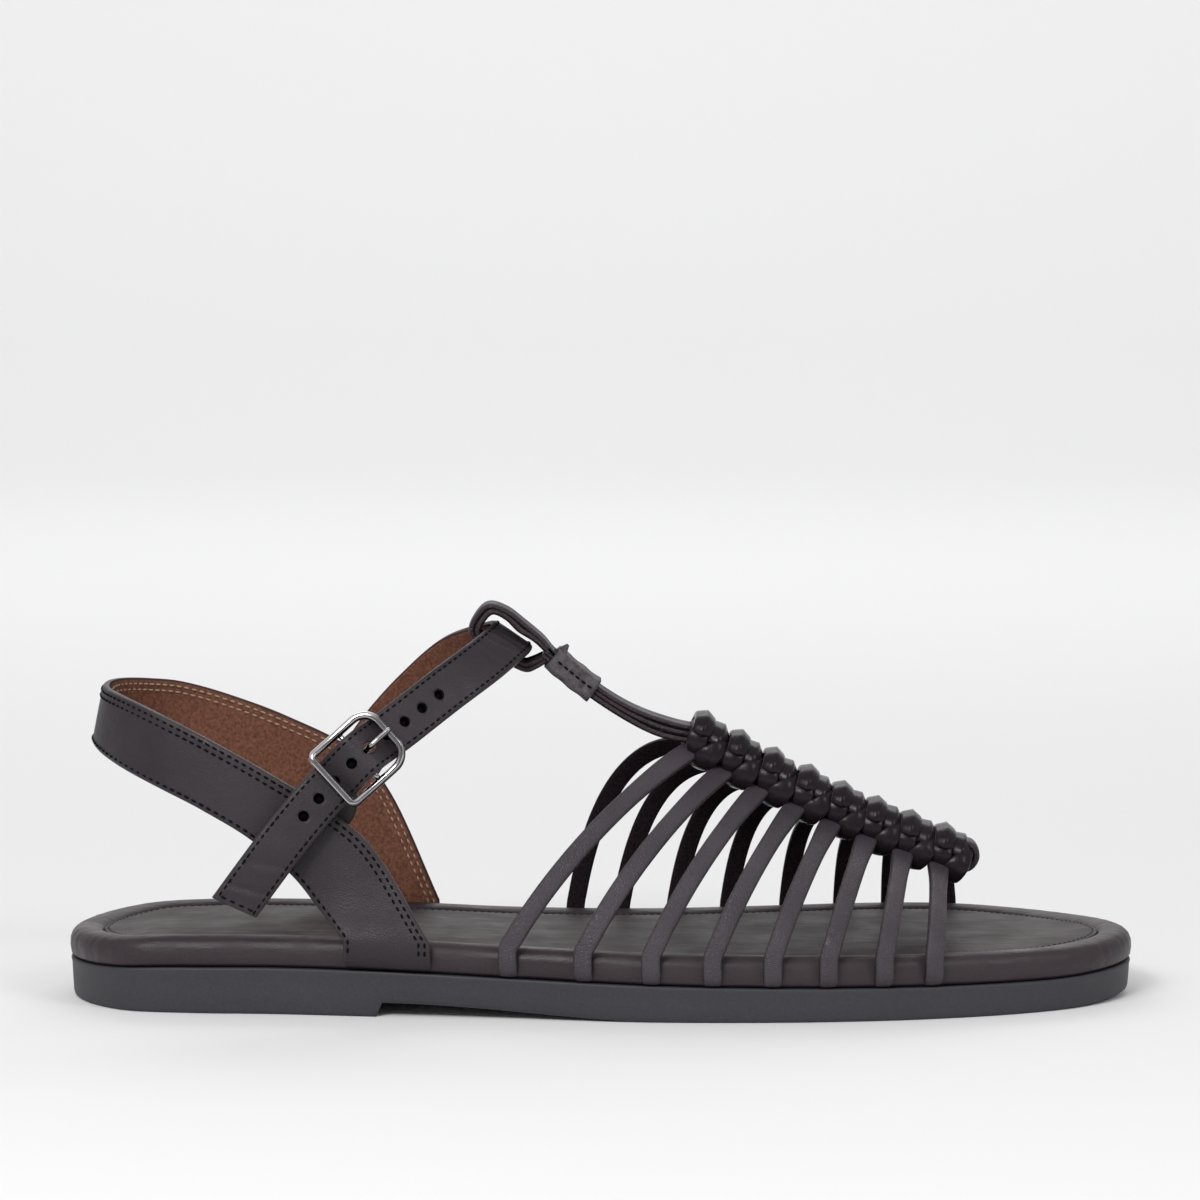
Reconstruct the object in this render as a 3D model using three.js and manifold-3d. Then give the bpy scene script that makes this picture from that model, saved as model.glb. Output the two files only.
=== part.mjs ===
// A woven huarache sandal for the right foot, in millimetres.
// +X points to the toe, +Y to the inner side of the foot, +Z up, and the floor is z = 0.
import * as THREE from "three";
import { mergeVertices } from "three/addons/utils/BufferGeometryUtils.js";
import Module from "manifold-3d";

// Driving sizes of the sole
const SOLE_LENGTH = 250;
const HEEL_WIDTH = 63;
const WAIST_WIDTH = 65;
const BALL_WIDTH = 88;
const HEEL_HEIGHT = 10.8;
const FOREFOOT_HEIGHT = 7.6;
const WAIST_RISE = 3.2;
const TOE_SPRING = 1.2;
const BREAST_AT = 0.298;
const WAIST_END_AT = 0.56;
const FOOTBED_HEIGHT = 6.8;
const FOOTBED_SETBACK = 0.6;
const RIM_WIDTH = 7.6;
const SOCK_WALL = 1.6;
const SOLE_CORNER = 1.2;
const SOLE_DRAFT = 0.8;

// Driving sizes of the straps
const THONG_WIDTH = 4.4;
const THONG_WALL = 1.8;
const TUCK_DEPTH = 5;
const STRAP_WALL = 2.2;
const KNOTS = 8;
const KNOT_WIDTH = 13.6;
const KNOT_HEIGHT = 13.2;
const INSTEP_HEIGHT = 44.4;
const TOE_ROOM = 17.8;
const RIDGE_BACK_AT = 0.598;
const RIDGE_FRONT_AT = 0.828;
const RIDGE_SAG = 1.4;
const HEEL_STRAP_RISE = 55.8;
const ANKLE_RISE = 65.5;
const ANKLE_STRAP_WIDTH = 11;
const TAIL_LENGTH = 46;
const HOLE_WIDTH = 2.5;
const HOLE_PITCH = 5.3;
const HOLES_EACH_WAY = 4;
const KEEPER_LENGTH = 12.6;
const KEEPER_WALL = 0.9;
const KEEPER_END_ROOM = 2.2;

// Driving sizes of the buckle
const BUCKLE_DISTANCE = 57;
const BUCKLE_LENGTH = 18.9;
const BUCKLE_BAR = 1.7;
const BUCKLE_ARCH = 1.3;
const BUCKLE_SIDE_ROOM = 1;
const BUCKLE_FOOT_ROUND = 1.2;
const BUCKLE_HEAD_ROUND = 4.2;
const CENTRE_BAR = 1.3;
const PRONG_WIDTH = 1.3;
const PRONG_HOLE = 2.7;
const TAB_WIDTH = 8.6;
const TAB_WALL = 0.9;

// Clearance between neighbouring pieces
const GAP = 0.3;

// How finely the solids are cut
const SOLE_STEPS = 30;
const THONG_STEPS = 7;
const ROUND_STEPS = 8;
const CORNER_STEPS = 3;
const LOOP_STEPS = 15;
const LACE_STEPS = 5;

// How far the two layers of the T-bar's laces lie from their middle line
const LACE_LAYER = 0.46 * THONG_WALL;

// The loop round the ankle strap is two laces deep
const LOOP_WALL = 1.78 * THONG_WALL;

// Where the T-bar's laces meet: out over the face of the ankle strap, and down past its edge
const T_BAR_OUT = 1.9;
const T_BAR_DROP = 2.8;

// How far the first knot reaches back along the ridge, as a share of the knots' pitch
const KNOT_BACK = 0.52;

const v3 = (x, y, z) => new THREE.Vector3(x, y, z);
const mix = (a, b, t) => a + (b - a) * t;
const clamp01 = (t) => Math.min(1, Math.max(0, t));
const smooth = (t) => clamp01(t) ** 2 * (3 - 2 * clamp01(t));

// Sole outline: half widths on each side, as shares of the named width, at shares of the length from the heel
const OUTLINE = [
  { at: 0.00, lateral: 0.000, medial: 0.000, of: HEEL_WIDTH },
  { at: 0.05, lateral: 0.418, medial: 0.418, of: HEEL_WIDTH },
  { at: 0.12, lateral: 0.497, medial: 0.497, of: HEEL_WIDTH },
  { at: 0.20, lateral: 0.522, medial: 0.490, of: HEEL_WIDTH },
  { at: 0.30, lateral: 0.562, medial: 0.440, of: WAIST_WIDTH },
  { at: 0.42, lateral: 0.615, medial: 0.415, of: WAIST_WIDTH },
  { at: 0.54, lateral: 0.500, medial: 0.348, of: BALL_WIDTH },
  { at: 0.66, lateral: 0.505, medial: 0.440, of: BALL_WIDTH },
  { at: 0.76, lateral: 0.476, medial: 0.512, of: BALL_WIDTH },
  { at: 0.84, lateral: 0.420, medial: 0.518, of: BALL_WIDTH },
  { at: 0.91, lateral: 0.338, medial: 0.432, of: BALL_WIDTH },
  { at: 0.96, lateral: 0.238, medial: 0.290, of: BALL_WIDTH },
  { at: 1.00, lateral: 0.000, medial: 0.000, of: BALL_WIDTH },
];

// Upper edge of the rubber: its share of the way from the forefoot's height to the heel's
const RUBBER_TOP = [
  { at: 0.00, share: 0.50 },
  { at: 0.10, share: 0.95 },
  { at: 0.28, share: 0.98 },
  { at: 0.42, share: 0.60 },
  { at: 0.56, share: 0.26 },
  { at: 0.72, share: 0.06 },
  { at: 1.00, share: -0.10 },
];

// Footbed wall, from the rubber up and over the rolled rim to the seam: inset as a share of the rim's width
// past the setback, and height as a share of the footbed's height
const RIM = [
  { inset: 0.08, height: 0.00 },
  { inset: 0.00, height: 0.20 },
  { inset: 0.01, height: 0.55 },
  { inset: 0.13, height: 0.84 },
  { inset: 0.38, height: 1.00 },
  { inset: 0.68, height: 0.98 },
  { inset: 0.88, height: 0.86 },
  { inset: 0.96, height: 0.68 },
];

// Where each pair of thongs leaves the sole, as shares of the length from the heel
const THONG_BASES = [
  { lateral: 0.415, medial: 0.476 },
  { lateral: 0.484, medial: 0.520 },
  { lateral: 0.546, medial: 0.573 },
  { lateral: 0.602, medial: 0.625 },
  { lateral: 0.657, medial: 0.683 },
  { lateral: 0.708, medial: 0.736 },
  { lateral: 0.759, medial: 0.783 },
  { lateral: 0.805, medial: 0.838 },
];

// How a thong arches from the rim to its knot: where its curve is pulled near the rim and near the knot, as
// shares of the run forward, the reach inward and the rise
const THONG_ARCH = {
  lateral: { lowForward: 0.27, lowRise: 0.50, highForward: 0.28, highOut: 0.42, highDrop: 0.12 },
  medial: { lowForward: 0.17, lowRise: 0.70, highForward: 0.46, highOut: 0.68, highDrop: 0.01 },
};

// Heel strap, from the back of the heel down to the sole on each side. at is a share of the length, out a
// share of half the heel width, and up a share of the strap's rise above the footbed, for both edges
const HEEL_STRAP_BACK = { low: { at: 0.026, out: 0, up: 0.750 }, high: { at: 0.037, out: 0, up: 0.998 } };
const HEEL_STRAP_LATERAL = [
  { low: { at: 0.029, out: 0.24, up: 0.740 }, high: { at: 0.040, out: 0.24, up: 0.992 } },
  { low: { at: 0.040, out: 0.45, up: 0.716 }, high: { at: 0.051, out: 0.44, up: 0.982 } },
  { low: { at: 0.062, out: 0.66, up: 0.672 }, high: { at: 0.073, out: 0.64, up: 0.952 } },
  { low: { at: 0.094, out: 0.83, up: 0.610 }, high: { at: 0.103, out: 0.81, up: 0.898 } },
  { low: { at: 0.133, out: 0.94, up: 0.528 }, high: { at: 0.145, out: 0.92, up: 0.808 } },
  { low: { at: 0.177, out: 0.99, up: 0.412 }, high: { at: 0.199, out: 0.98, up: 0.675 } },
  { low: { at: 0.216, out: 1.02, up: 0.262 }, high: { at: 0.257, out: 1.01, up: 0.512 } },
  { low: { at: 0.240, out: 1.05, up: 0.130 }, high: { at: 0.296, out: 1.05, up: 0.345 } },
];
const HEEL_STRAP_MEDIAL = [
  { low: { at: 0.029, out: 0.24, up: 0.746 }, high: { at: 0.040, out: 0.24, up: 0.998 } },
  { low: { at: 0.040, out: 0.45, up: 0.730 }, high: { at: 0.051, out: 0.44, up: 0.992 } },
  { low: { at: 0.060, out: 0.66, up: 0.690 }, high: { at: 0.071, out: 0.64, up: 0.976 } },
  { low: { at: 0.090, out: 0.82, up: 0.655 }, high: { at: 0.099, out: 0.80, up: 0.952 } },
  { low: { at: 0.128, out: 0.91, up: 0.590 }, high: { at: 0.142, out: 0.89, up: 0.892 } },
  { low: { at: 0.172, out: 0.95, up: 0.478 }, high: { at: 0.200, out: 0.93, up: 0.790 } },
  { low: { at: 0.212, out: 0.95, up: 0.330 }, high: { at: 0.262, out: 0.94, up: 0.645 } },
  { low: { at: 0.238, out: 0.94, up: 0.170 }, high: { at: 0.300, out: 0.93, up: 0.440 } },
];
const HEEL_LEG_BASE = { low: 0.264, high: 0.344 };
const HEEL_STRAP_SEAT_AT = (HEEL_LEG_BASE.low + HEEL_LEG_BASE.high) / 2;

// Ankle strap, from its sewn end on the inner side, round the front of the ankle and down to the tail's end.
// at is a share of the length, out a share of the strap's half span, up a share of its rise above the
// footbed, and lean the degrees by which its face tilts up
const ANKLE_STRAP = [
  { at: 0.246, out: -1.00, up: 0.370, lean: 0 },
  { at: 0.265, out: -1.00, up: 0.490, lean: 2 },
  { at: 0.290, out: -0.97, up: 0.630, lean: 8 },
  { at: 0.323, out: -0.86, up: 0.774, lean: 20 },
  { at: 0.363, out: -0.62, up: 0.916, lean: 38 },
  { at: 0.406, out: -0.26, up: 1.000, lean: 53 },
  { at: 0.416, out: 0.00, up: 1.015, lean: 56 },
  { at: 0.409, out: 0.23, up: 1.000, lean: 53 },
  { at: 0.390, out: 0.44, up: 0.950, lean: 44 },
  { at: 0.356, out: 0.66, up: 0.864, lean: 30 },
  { at: 0.320, out: 0.82, up: 0.764, lean: 18 },
  { at: 0.280, out: 0.93, up: 0.650, lean: 9 },
  { at: 0.244, out: 1.00, up: 0.515, lean: 4 },
  { at: 0.212, out: 1.04, up: 0.372, lean: 2 },
  { at: 0.186, out: 1.05, up: 0.240, lean: 0 },
  { at: 0.164, out: 1.05, up: 0.125, lean: 0 },
];

// Interpolates one column of a table over its at column, with a smooth curve through the rows
function column(rows, at, value, key = (row) => row.at) {
  const last = rows.length - 1;
  let i = 0;
  while (i < last - 1 && key(rows[i + 1]) < at) i += 1;
  const slope = (j) => {
    const a = Math.max(0, j - 1);
    const b = Math.min(last, j + 1);
    return (value(rows[b]) - value(rows[a])) / (key(rows[b]) - key(rows[a]));
  };
  const span = key(rows[i + 1]) - key(rows[i]);
  const t = clamp01((at - key(rows[i])) / span);
  const t2 = t * t;
  const t3 = t2 * t;
  return (2 * t3 - 3 * t2 + 1) * value(rows[i]) + (t3 - 2 * t2 + t) * span * slope(i)
    + (3 * t2 - 2 * t3) * value(rows[i + 1]) + (t3 - t2) * span * slope(i + 1);
}

// The turn is an angle from 0 at the heel's tip to pi at the toe's, which rounds both ends
const turnOf = (at) => Math.acos(1 - 2 * at);
const atOf = (turn) => (1 - Math.cos(turn)) / 2;
const xOf = (at) => (at - 0.5) * SOLE_LENGTH;

// A point of the outline on one side (-1 lateral, +1 medial), with its outward normal
function outlinePoint(turn, side) {
  const half = (t) => {
    const bounded = Math.min(Math.PI, Math.max(0, t));
    const name = side < 0 ? "lateral" : "medial";
    return column(OUTLINE, bounded, (row) => row[name] * row.of, (row) => turnOf(row.at));
  };
  const step = 0.01;
  const along = SOLE_LENGTH * Math.sin(turn) / 2;
  const atTip = turn < step || turn > Math.PI - step;
  const across = atTip ? 1 : (half(turn + step) - half(turn - step)) / (2 * step);
  const normal = atTip ? v3(turn < step ? -1 : 1, 0, 0) : v3(-across, side * along, 0).normalize();
  return { point: v3(xOf(atOf(turn)), side * half(turn), 0), normal };
}

// A place on the footbed's side wall: its clearance is measured outward from the wall
function wallPoint(at, side, clearance) {
  const { point, normal } = outlinePoint(turnOf(at), side);
  return { point: point.addScaledVector(normal, clearance - FOOTBED_SETBACK), normal };
}

const toeSpring = (at) => TOE_SPRING * clamp01((at - 0.9) / 0.1) ** 2;
const rubberTop = (at) => mix(FOREFOOT_HEIGHT, HEEL_HEIGHT, column(RUBBER_TOP, at, (row) => row.share))
  + toeSpring(at);
const rubberBottom = (at) => (at <= BREAST_AT ? 0
  : WAIST_RISE * (1 - smooth((at - BREAST_AT) / (WAIST_END_AT - BREAST_AT)))) + toeSpring(at);
const footbedBase = (at) => rubberTop(at) + GAP;
const footbedTop = (at) => footbedBase(at) + FOOTBED_HEIGHT;

// Builds a closed body from rings of points, capped at both ends or joined into a loop
function closedBody(rings, { loop = false, capStart, capEnd } = {}) {
  const count = rings[0].length;
  const points = rings.flat();
  const faces = [];
  const steps = loop ? rings.length : rings.length - 1;
  for (let r = 0; r < steps; r += 1) {
    const next = (r + 1) % rings.length;
    for (let i = 0; i < count; i += 1) {
      const j = (i + 1) % count;
      faces.push([r * count + i, r * count + j, next * count + j]);
      faces.push([r * count + i, next * count + j, next * count + i]);
    }
  }
  if (!loop) {
    const start = capStart ?? fanCap(count);
    const end = capEnd ?? fanCap(count);
    const base = (rings.length - 1) * count;
    for (const [a, b, c] of start) faces.push([c, b, a]);
    for (const [a, b, c] of end) faces.push([base + a, base + b, base + c]);
  }
  let volume = 0;
  for (const [a, b, c] of faces) volume += points[a].dot(points[b].clone().cross(points[c]));
  const geometry = new THREE.BufferGeometry();
  geometry.setAttribute("position", new THREE.Float32BufferAttribute(points.flatMap((p) => p.toArray()), 3));
  geometry.setIndex(faces.flatMap((face) => (volume < 0 ? [face[0], face[2], face[1]] : face)));
  return geometry;
}

function fanCap(count) {
  return Array.from({ length: count - 2 }, (_, i) => [0, i + 1, i + 2]);
}

// A cap over a ring that runs out along one side and back along the other, in strips from side to side
function stripCap(stations) {
  const last = stations - 1;
  const other = (i) => (2 * last - i) % (2 * last);
  const faces = [];
  for (let i = 0; i < last; i += 1) {
    if (i > 0) faces.push([i, i + 1, other(i)]);
    if (i < last - 1) faces.push([i + 1, other(i + 1), other(i)]);
  }
  return faces;
}

// The turns at which the sole is cut, with two close ones at the heel's breast
function soleTurns() {
  const turns = Array.from({ length: SOLE_STEPS + 1 }, (_, i) => (i * Math.PI) / SOLE_STEPS);
  const breast = turnOf(BREAST_AT);
  const breastDepth = 0.012;
  const clear = turns.filter((turn) => Math.abs(turn - breast) > Math.PI / SOLE_STEPS / 2);
  return [...clear, breast, breast + breastDepth].sort((a, b) => a - b);
}

// A body with the outline of the sole: each layer is the outline moved in by its inset, at its own height
function platform(layers) {
  const turns = soleTurns();
  const inner = turns.slice(1, -1);
  const walk = [
    ...turns.map((turn) => ({ turn, side: -1 })),
    ...inner.reverse().map((turn) => ({ turn, side: 1 })),
  ];
  const rings = layers.map(({ inset, z }) => walk.map(({ turn, side }) => {
    const { point, normal } = outlinePoint(turn, side);
    point.addScaledVector(normal, -inset);
    point.z = z(atOf(turn));
    return point;
  }));
  const cap = stripCap(turns.length);
  return closedBody(rings, { capStart: cap, capEnd: cap });
}

// The rubber's wall leans out a little to its upper edge, and both its edges are rounded
function outsoleGeometry() {
  return platform([
    { inset: SOLE_DRAFT + 0.7 * SOLE_CORNER, z: rubberBottom },
    { inset: SOLE_DRAFT, z: (at) => rubberBottom(at) + 0.3 * SOLE_CORNER },
    { inset: 0.7 * SOLE_DRAFT, z: (at) => rubberBottom(at) + SOLE_CORNER },
    { inset: 0.15 * SOLE_DRAFT, z: (at) => rubberTop(at) - SOLE_CORNER },
    { inset: 0, z: (at) => rubberTop(at) - 0.4 * SOLE_CORNER },
    { inset: 0.4 * SOLE_CORNER, z: rubberTop },
  ]);
}

// The footbed has a slot in its lower face for each strap end
function footbedGeometry() {
  const body = solidOf(platform(RIM.map(({ inset, height }) => ({
    inset: FOOTBED_SETBACK + inset * RIM_WIDTH,
    z: (at) => footbedBase(at) + height * FOOTBED_HEIGHT,
  }))));
  const slots = [
    ...[-1, 1].flatMap((side) => THONG_BASES.map((_, index) => thongStations(index, side).slice(0, 4))),
    heelLegEnd(-1),
    heelLegEnd(1),
  ];
  return geometryOf(slots.reduce((left, slot) => left.subtract(solidOf(slotGeometry(slot))), body));
}

// The room that a strap's end needs under the footbed
function slotGeometry(stations) {
  const spare = 0.9 * GAP;
  const roomy = squareUp(stations).map(({ edge, across, ...station }) => ({
    ...station,
    across: edge ? edge.clone().multiplyScalar(Math.sign(edge.dot(across)) / edge.length()) : across,
    width: station.width + 2 * spare,
    wall: station.wall + 2 * spare,
  }));
  roomy[0].centre = roomy[0].centre.clone().addScaledVector(roomy[0].along, -spare);
  return closedBody(roomy.map(({ centre, across, out, width, wall }) => (
    rectangle(width, wall).map(([a, b]) => (
      centre.clone().addScaledVector(across, a).addScaledVector(out, b))))));
}

const rectangle = (width, height) => [
  [width / 2, height / 2], [-width / 2, height / 2], [-width / 2, -height / 2], [width / 2, -height / 2],
];

// The sock fills the recess inside the rim, its face level with the rim's crest
function sockGeometry() {
  const edge = FOOTBED_SETBACK + RIM[RIM.length - 1].inset * RIM_WIDTH + GAP;
  const floor = (at) => footbedBase(at) + RIM[RIM.length - 1].height * FOOTBED_HEIGHT + GAP;
  const round = 0.35 * SOCK_WALL;
  return platform([
    { inset: edge + 0.2, z: floor },
    { inset: edge, z: (at) => floor(at) + round },
    { inset: edge + round, z: (at) => floor(at) + SOCK_WALL - 0.2 * round },
    { inset: edge + 3 * round, z: (at) => floor(at) + SOCK_WALL },
  ]);
}

// The section of a flat strip: its width runs along across and its wall along out, with rounded edges
function stripSection({ centre, across, out, width, wall }) {
  const round = Math.min(wall / 2, width / 2) * 0.75;
  const corners = [
    [width / 2, 0],
    [width / 2 - round, wall / 2],
    [-width / 2 + round, wall / 2],
    [-width / 2, 0],
    [-width / 2 + round, -wall / 2],
    [width / 2 - round, -wall / 2],
  ];
  return corners.map(([a, b]) => centre.clone().addScaledVector(across, a).addScaledVector(out, b));
}

// Gives each station of a path its direction, squares its outward vector to it and finds the way across
function squareUp(stations, loop = false) {
  const last = stations.length - 1;
  return stations.map((station, i) => {
    const before = stations[loop ? (i + last) % (last + 1) : Math.max(0, i - 1)].centre;
    const after = stations[loop ? (i + 1) % (last + 1) : Math.min(last, i + 1)].centre;
    const along = after.clone().sub(before).normalize();
    const out = station.out.clone().addScaledVector(along, -along.dot(station.out)).normalize();
    return { ...station, along, out, across: along.clone().cross(out) };
  });
}

function strip(stations, { loop = false } = {}) {
  return closedBody(squareUp(stations, loop).map(stripSection), { loop });
}

// A smooth closed or open curve through rows of centre and out, cut into steps pieces
function resample(rows, steps, loop = false) {
  const centres = new THREE.CatmullRomCurve3(rows.map((row) => row.centre), loop, "centripetal");
  const last = loop ? rows.length : rows.length - 1;
  return Array.from({ length: loop ? steps : steps + 1 }, (_, i) => {
    const place = (i / steps) * last;
    const from = Math.min(Math.floor(place), last - 1);
    const out = rows[from].out.clone().lerp(rows[(from + 1) % rows.length].out, place - from);
    return { centre: centres.getPoint(i / steps), out };
  });
}

// The line of knots over the middle of the forefoot, at a share u from the first knot to the last
function ridgePoint(u) {
  const at = mix(RIDGE_BACK_AT, RIDGE_FRONT_AT, u);
  const height = mix(INSTEP_HEIGHT, TOE_ROOM, u) - 4 * RIDGE_SAG * u * (1 - u);
  return v3(xOf(at), 0, footbedTop(RIDGE_BACK_AT) + height);
}

// Directions at a knot: along the ridge to the toe, and up from the foot
function ridgeFrame(u) {
  const step = 0.02;
  const along = ridgePoint(u + step).sub(ridgePoint(u - step)).normalize();
  return { centre: ridgePoint(u), along, up: along.clone().cross(v3(0, -1, 0)).multiplyScalar(-1) };
}

// How far apart the knots lie along the ridge
const knotPitch = () => ridgePoint(0).distanceTo(ridgePoint(1)) / (KNOTS - 1);

// The stations where a strap lies in its slot under the footbed, turns up and rises past the rim
function tuckStations(at, side, wall, clearance = GAP) {
  const turn = 1.2 * wall;
  const low = footbedBase(at) + wall / 2;
  const onWall = wallPoint(at, side, clearance + wall / 2);
  const down = v3(0, 0, -1);
  const place = (inward, rise, out) => {
    const centre = onWall.point.clone().addScaledVector(onWall.normal, -inward);
    centre.z = low + rise;
    return { centre, out };
  };
  const bend = turn * (1 - Math.SQRT1_2);
  return [
    place(TUCK_DEPTH, 0, down),
    place(turn, 0, down),
    place(bend, bend, onWall.normal.clone().add(down).normalize()),
    place(0, turn, onWall.normal),
    place(0, FOOTBED_HEIGHT - wall / 2, onWall.normal),
  ];
}

// One thong, from its slot under the footbed, up over the rim and inward to its knot
function thongStations(index, side) {
  const at = side < 0 ? THONG_BASES[index].lateral : THONG_BASES[index].medial;
  const knot = ridgeFrame(index / (KNOTS - 1));
  const base = tuckStations(at, side, THONG_WALL);
  const foot = base[base.length - 1];
  const start = foot.centre;
  const end = knot.centre.clone()
    .addScaledVector(knot.along, -0.2 * knotPitch())
    .addScaledVector(knot.up, -0.22 * KNOT_HEIGHT);
  end.y = side * 0.3 * KNOT_WIDTH;
  const pull = side < 0 ? THONG_ARCH.lateral : THONG_ARCH.medial;
  const run = end.clone().sub(start);
  const low = start.clone().add(v3(pull.lowForward * run.x, 0, pull.lowRise * run.z));
  const high = end.clone().sub(v3(pull.highForward * run.x, pull.highOut * run.y, pull.highDrop * run.z));
  const arch = new THREE.CubicBezierCurve3(start, low, high, end);
  const upright = v3(0, 0, 1);
  const arc = Array.from({ length: THONG_STEPS }, (_, i) => {
    const t = (i + 1) / THONG_STEPS;
    const out = foot.out.clone().multiplyScalar(1 - 0.5 * t).addScaledVector(upright, 0.42 * t * t);
    return { centre: arch.getPoint(t), out };
  });
  return [...base, ...arc].map((station) => ({ ...station, width: THONG_WIDTH, wall: THONG_WALL }));
}

// One of the two wraps of a knot: a band folded round the core, given by its profile across the ridge
function wrapGeometry(frame, shift, width, profile) {
  const side = v3(0, 1, 0);
  const ring = (offset, size) => profile.map(([across, up]) => frame.centre.clone()
    .addScaledVector(frame.along, shift + offset)
    .addScaledVector(side, across * size * KNOT_WIDTH / 2)
    .addScaledVector(frame.up, up * size * KNOT_HEIGHT / 2));
  const half = width / 2;
  return closedBody([ring(-half, 0.86), ring(-0.62 * half, 1), ring(0.62 * half, 1), ring(half, 0.86)]);
}

// Profiles of the wraps, as shares of half the knot's width and height, once round
const PEAK_WRAP = [
  [0.00, 1.00], [0.62, 0.68], [0.90, 0.00], [0.66, -0.72],
  [0.00, -0.86], [-0.66, -0.72], [-0.90, 0.00], [-0.62, 0.68],
];
const LOW_WRAP = [
  [0.00, 0.70], [0.66, 0.50], [1.00, -0.14], [0.76, -0.84],
  [0.00, -1.00], [-0.76, -0.84], [-1.00, -0.14], [-0.66, 0.50],
];

function knotGeometries(index) {
  const frame = ridgeFrame(index / (KNOTS - 1));
  const pitch = knotPitch();
  return [
    wrapGeometry(frame, -0.24 * pitch, 0.56 * pitch, PEAK_WRAP),
    wrapGeometry(frame, 0.26 * pitch, 0.56 * pitch, LOW_WRAP),
  ];
}

// The laces' own end, a band that stands out in a loop past the last knot
function toeLoopGeometry() {
  const frame = ridgeFrame(1);
  const pitch = knotPitch();
  const place = (along, up) => frame.centre.clone()
    .addScaledVector(frame.along, along * pitch)
    .addScaledVector(frame.up, up * KNOT_HEIGHT);
  const middle = place(0.3, -0.02);
  const rows = [place(0.2, 0.28), place(0.6, 0.25), place(0.84, 0.02), place(0.68, -0.24), place(0.2, -0.30)]
    .map((centre) => ({ centre, out: centre.clone().sub(middle).normalize() }));
  return strip(resample(rows, 6).map((row) => ({ ...row, width: 2 * THONG_WIDTH, wall: THONG_WALL })));
}

// A place about the front of the ankle strap: down past its middle line to the toe, and out from its face
function frontPlace(down, out) {
  const { at, up, lean } = ANKLE_STRAP.find((row) => row.out === 0);
  const tilt = THREE.MathUtils.degToRad(lean);
  return v3(xOf(at), 0, footbedTop(HEEL_STRAP_SEAT_AT) + up * ANKLE_RISE)
    .addScaledVector(v3(Math.sin(tilt), 0, -Math.cos(tilt)), down)
    .addScaledVector(v3(Math.cos(tilt), 0, Math.sin(tilt)), out);
}

// The T-bar's middle line, from the first knot up the instep to the loop
function bundleCurve() {
  const start = ridgeFrame(0);
  const foot = start.centre.clone().addScaledVector(start.along, -(KNOT_BACK * knotPitch() + 3 * GAP));
  const top = frontPlace(ANKLE_STRAP_WIDTH / 2 + T_BAR_DROP, T_BAR_OUT);
  const bend = v3(mix(top.x, foot.x, 0.57), 0, mix(foot.z, top.z, 0.08));
  return new THREE.QuadraticBezierCurve3(foot, bend, top);
}

// A place on the T-bar at a share of its length
function bundlePoint(share) {
  const along = bundleCurve().getTangentAt(share);
  return { centre: bundleCurve().getPointAt(share), out: v3(along.z, 0, -along.x) };
}

// Two laces side by side along a path of centre and out
function lacePair(rows, wall = THONG_WALL) {
  return [-0.49, 0.49].map((share) => strip(rows.map(({ centre, out }) => ({
    centre: centre.clone().add(v3(0, share * THONG_WIDTH, 0)),
    out,
    width: THONG_WIDTH,
    wall,
  }))));
}

// The laces between the first knot and the loop lie two deep
function bundleGeometries() {
  return [-LACE_LAYER, LACE_LAYER].flatMap((layer) => (
    lacePair(Array.from({ length: LACE_STEPS + 1 }, (_, i) => {
      const { centre, out } = bundlePoint(i / LACE_STEPS);
      return { centre: centre.addScaledVector(out, layer), out };
    }))));
}

// The loop round the ankle strap, out over its face, round its upper edge and back along its inner face
function loopGeometries() {
  const clear = STRAP_WALL / 2 + GAP + LOOP_WALL / 2;
  const half = ANKLE_STRAP_WIDTH / 2;
  const rows = [
    [half + T_BAR_DROP, T_BAR_OUT + LACE_LAYER],
    [half, 1.12 * clear],
    [0.1 * half, 1.2 * clear],
    [-0.75 * half, 1.36 * clear],
    [-half - 0.75 * LOOP_WALL, 1.02 * clear],
    [-half - LOOP_WALL, -0.1 * clear],
    [-half - 0.7 * LOOP_WALL, -1.2 * clear],
    [-0.5 * half, -1.4 * clear],
    [0.5 * half, -1.36 * clear],
    [half + 0.3 * T_BAR_DROP, -1.2 * clear],
    [half + 0.8 * T_BAR_DROP, -0.65 * clear],
    [half + T_BAR_DROP, T_BAR_OUT - LACE_LAYER],
  ].map(([down, out]) => frontPlace(down, out));
  const middle = frontPlace(0, 0);
  const path = resample(rows.map((centre) => ({ centre, out: centre.clone().sub(middle) })), LOOP_STEPS);
  return lacePair(path, LOOP_WALL);
}

// The wrap that holds the laces together below the loop
function keeperGeometry() {
  const steps = 4;
  const length = bundleCurve().getLength();
  const to = 1 - KEEPER_END_ROOM / length;
  const from = to - KEEPER_LENGTH / length;
  const innerWidth = 1.98 * THONG_WIDTH + 2 * GAP;
  const innerWall = 2 * LACE_LAYER + THONG_WALL + 2 * GAP;
  const sleeve = (spare, over) => closedBody(squareUp(Array.from({ length: steps + 1 }, (_, i) => (
    bundlePoint(mix(from - over, to + over, i / steps))))).map(({ centre, across, out }) => (
    boxSection(centre, across, out, innerWidth + 2 * spare, innerWall + 2 * spare))));
  const core = sleeve(0, 0.5 * KEEPER_END_ROOM / length);
  return geometryOf(solidOf(sleeve(KEEPER_WALL, 0)).subtract(solidOf(core)));
}

// A rectangle with cut corners
function boxSection(centre, across, out, width, height) {
  const cut = 0.5 * KEEPER_WALL;
  return [
    [width / 2, height / 2 - cut], [width / 2 - cut, height / 2],
    [-width / 2 + cut, height / 2], [-width / 2, height / 2 - cut],
    [-width / 2, -height / 2 + cut], [-width / 2 + cut, -height / 2],
    [width / 2 - cut, -height / 2], [width / 2, -height / 2 + cut],
  ].map(([a, b]) => centre.clone().addScaledVector(across, a).addScaledVector(out, b));
}

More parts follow.
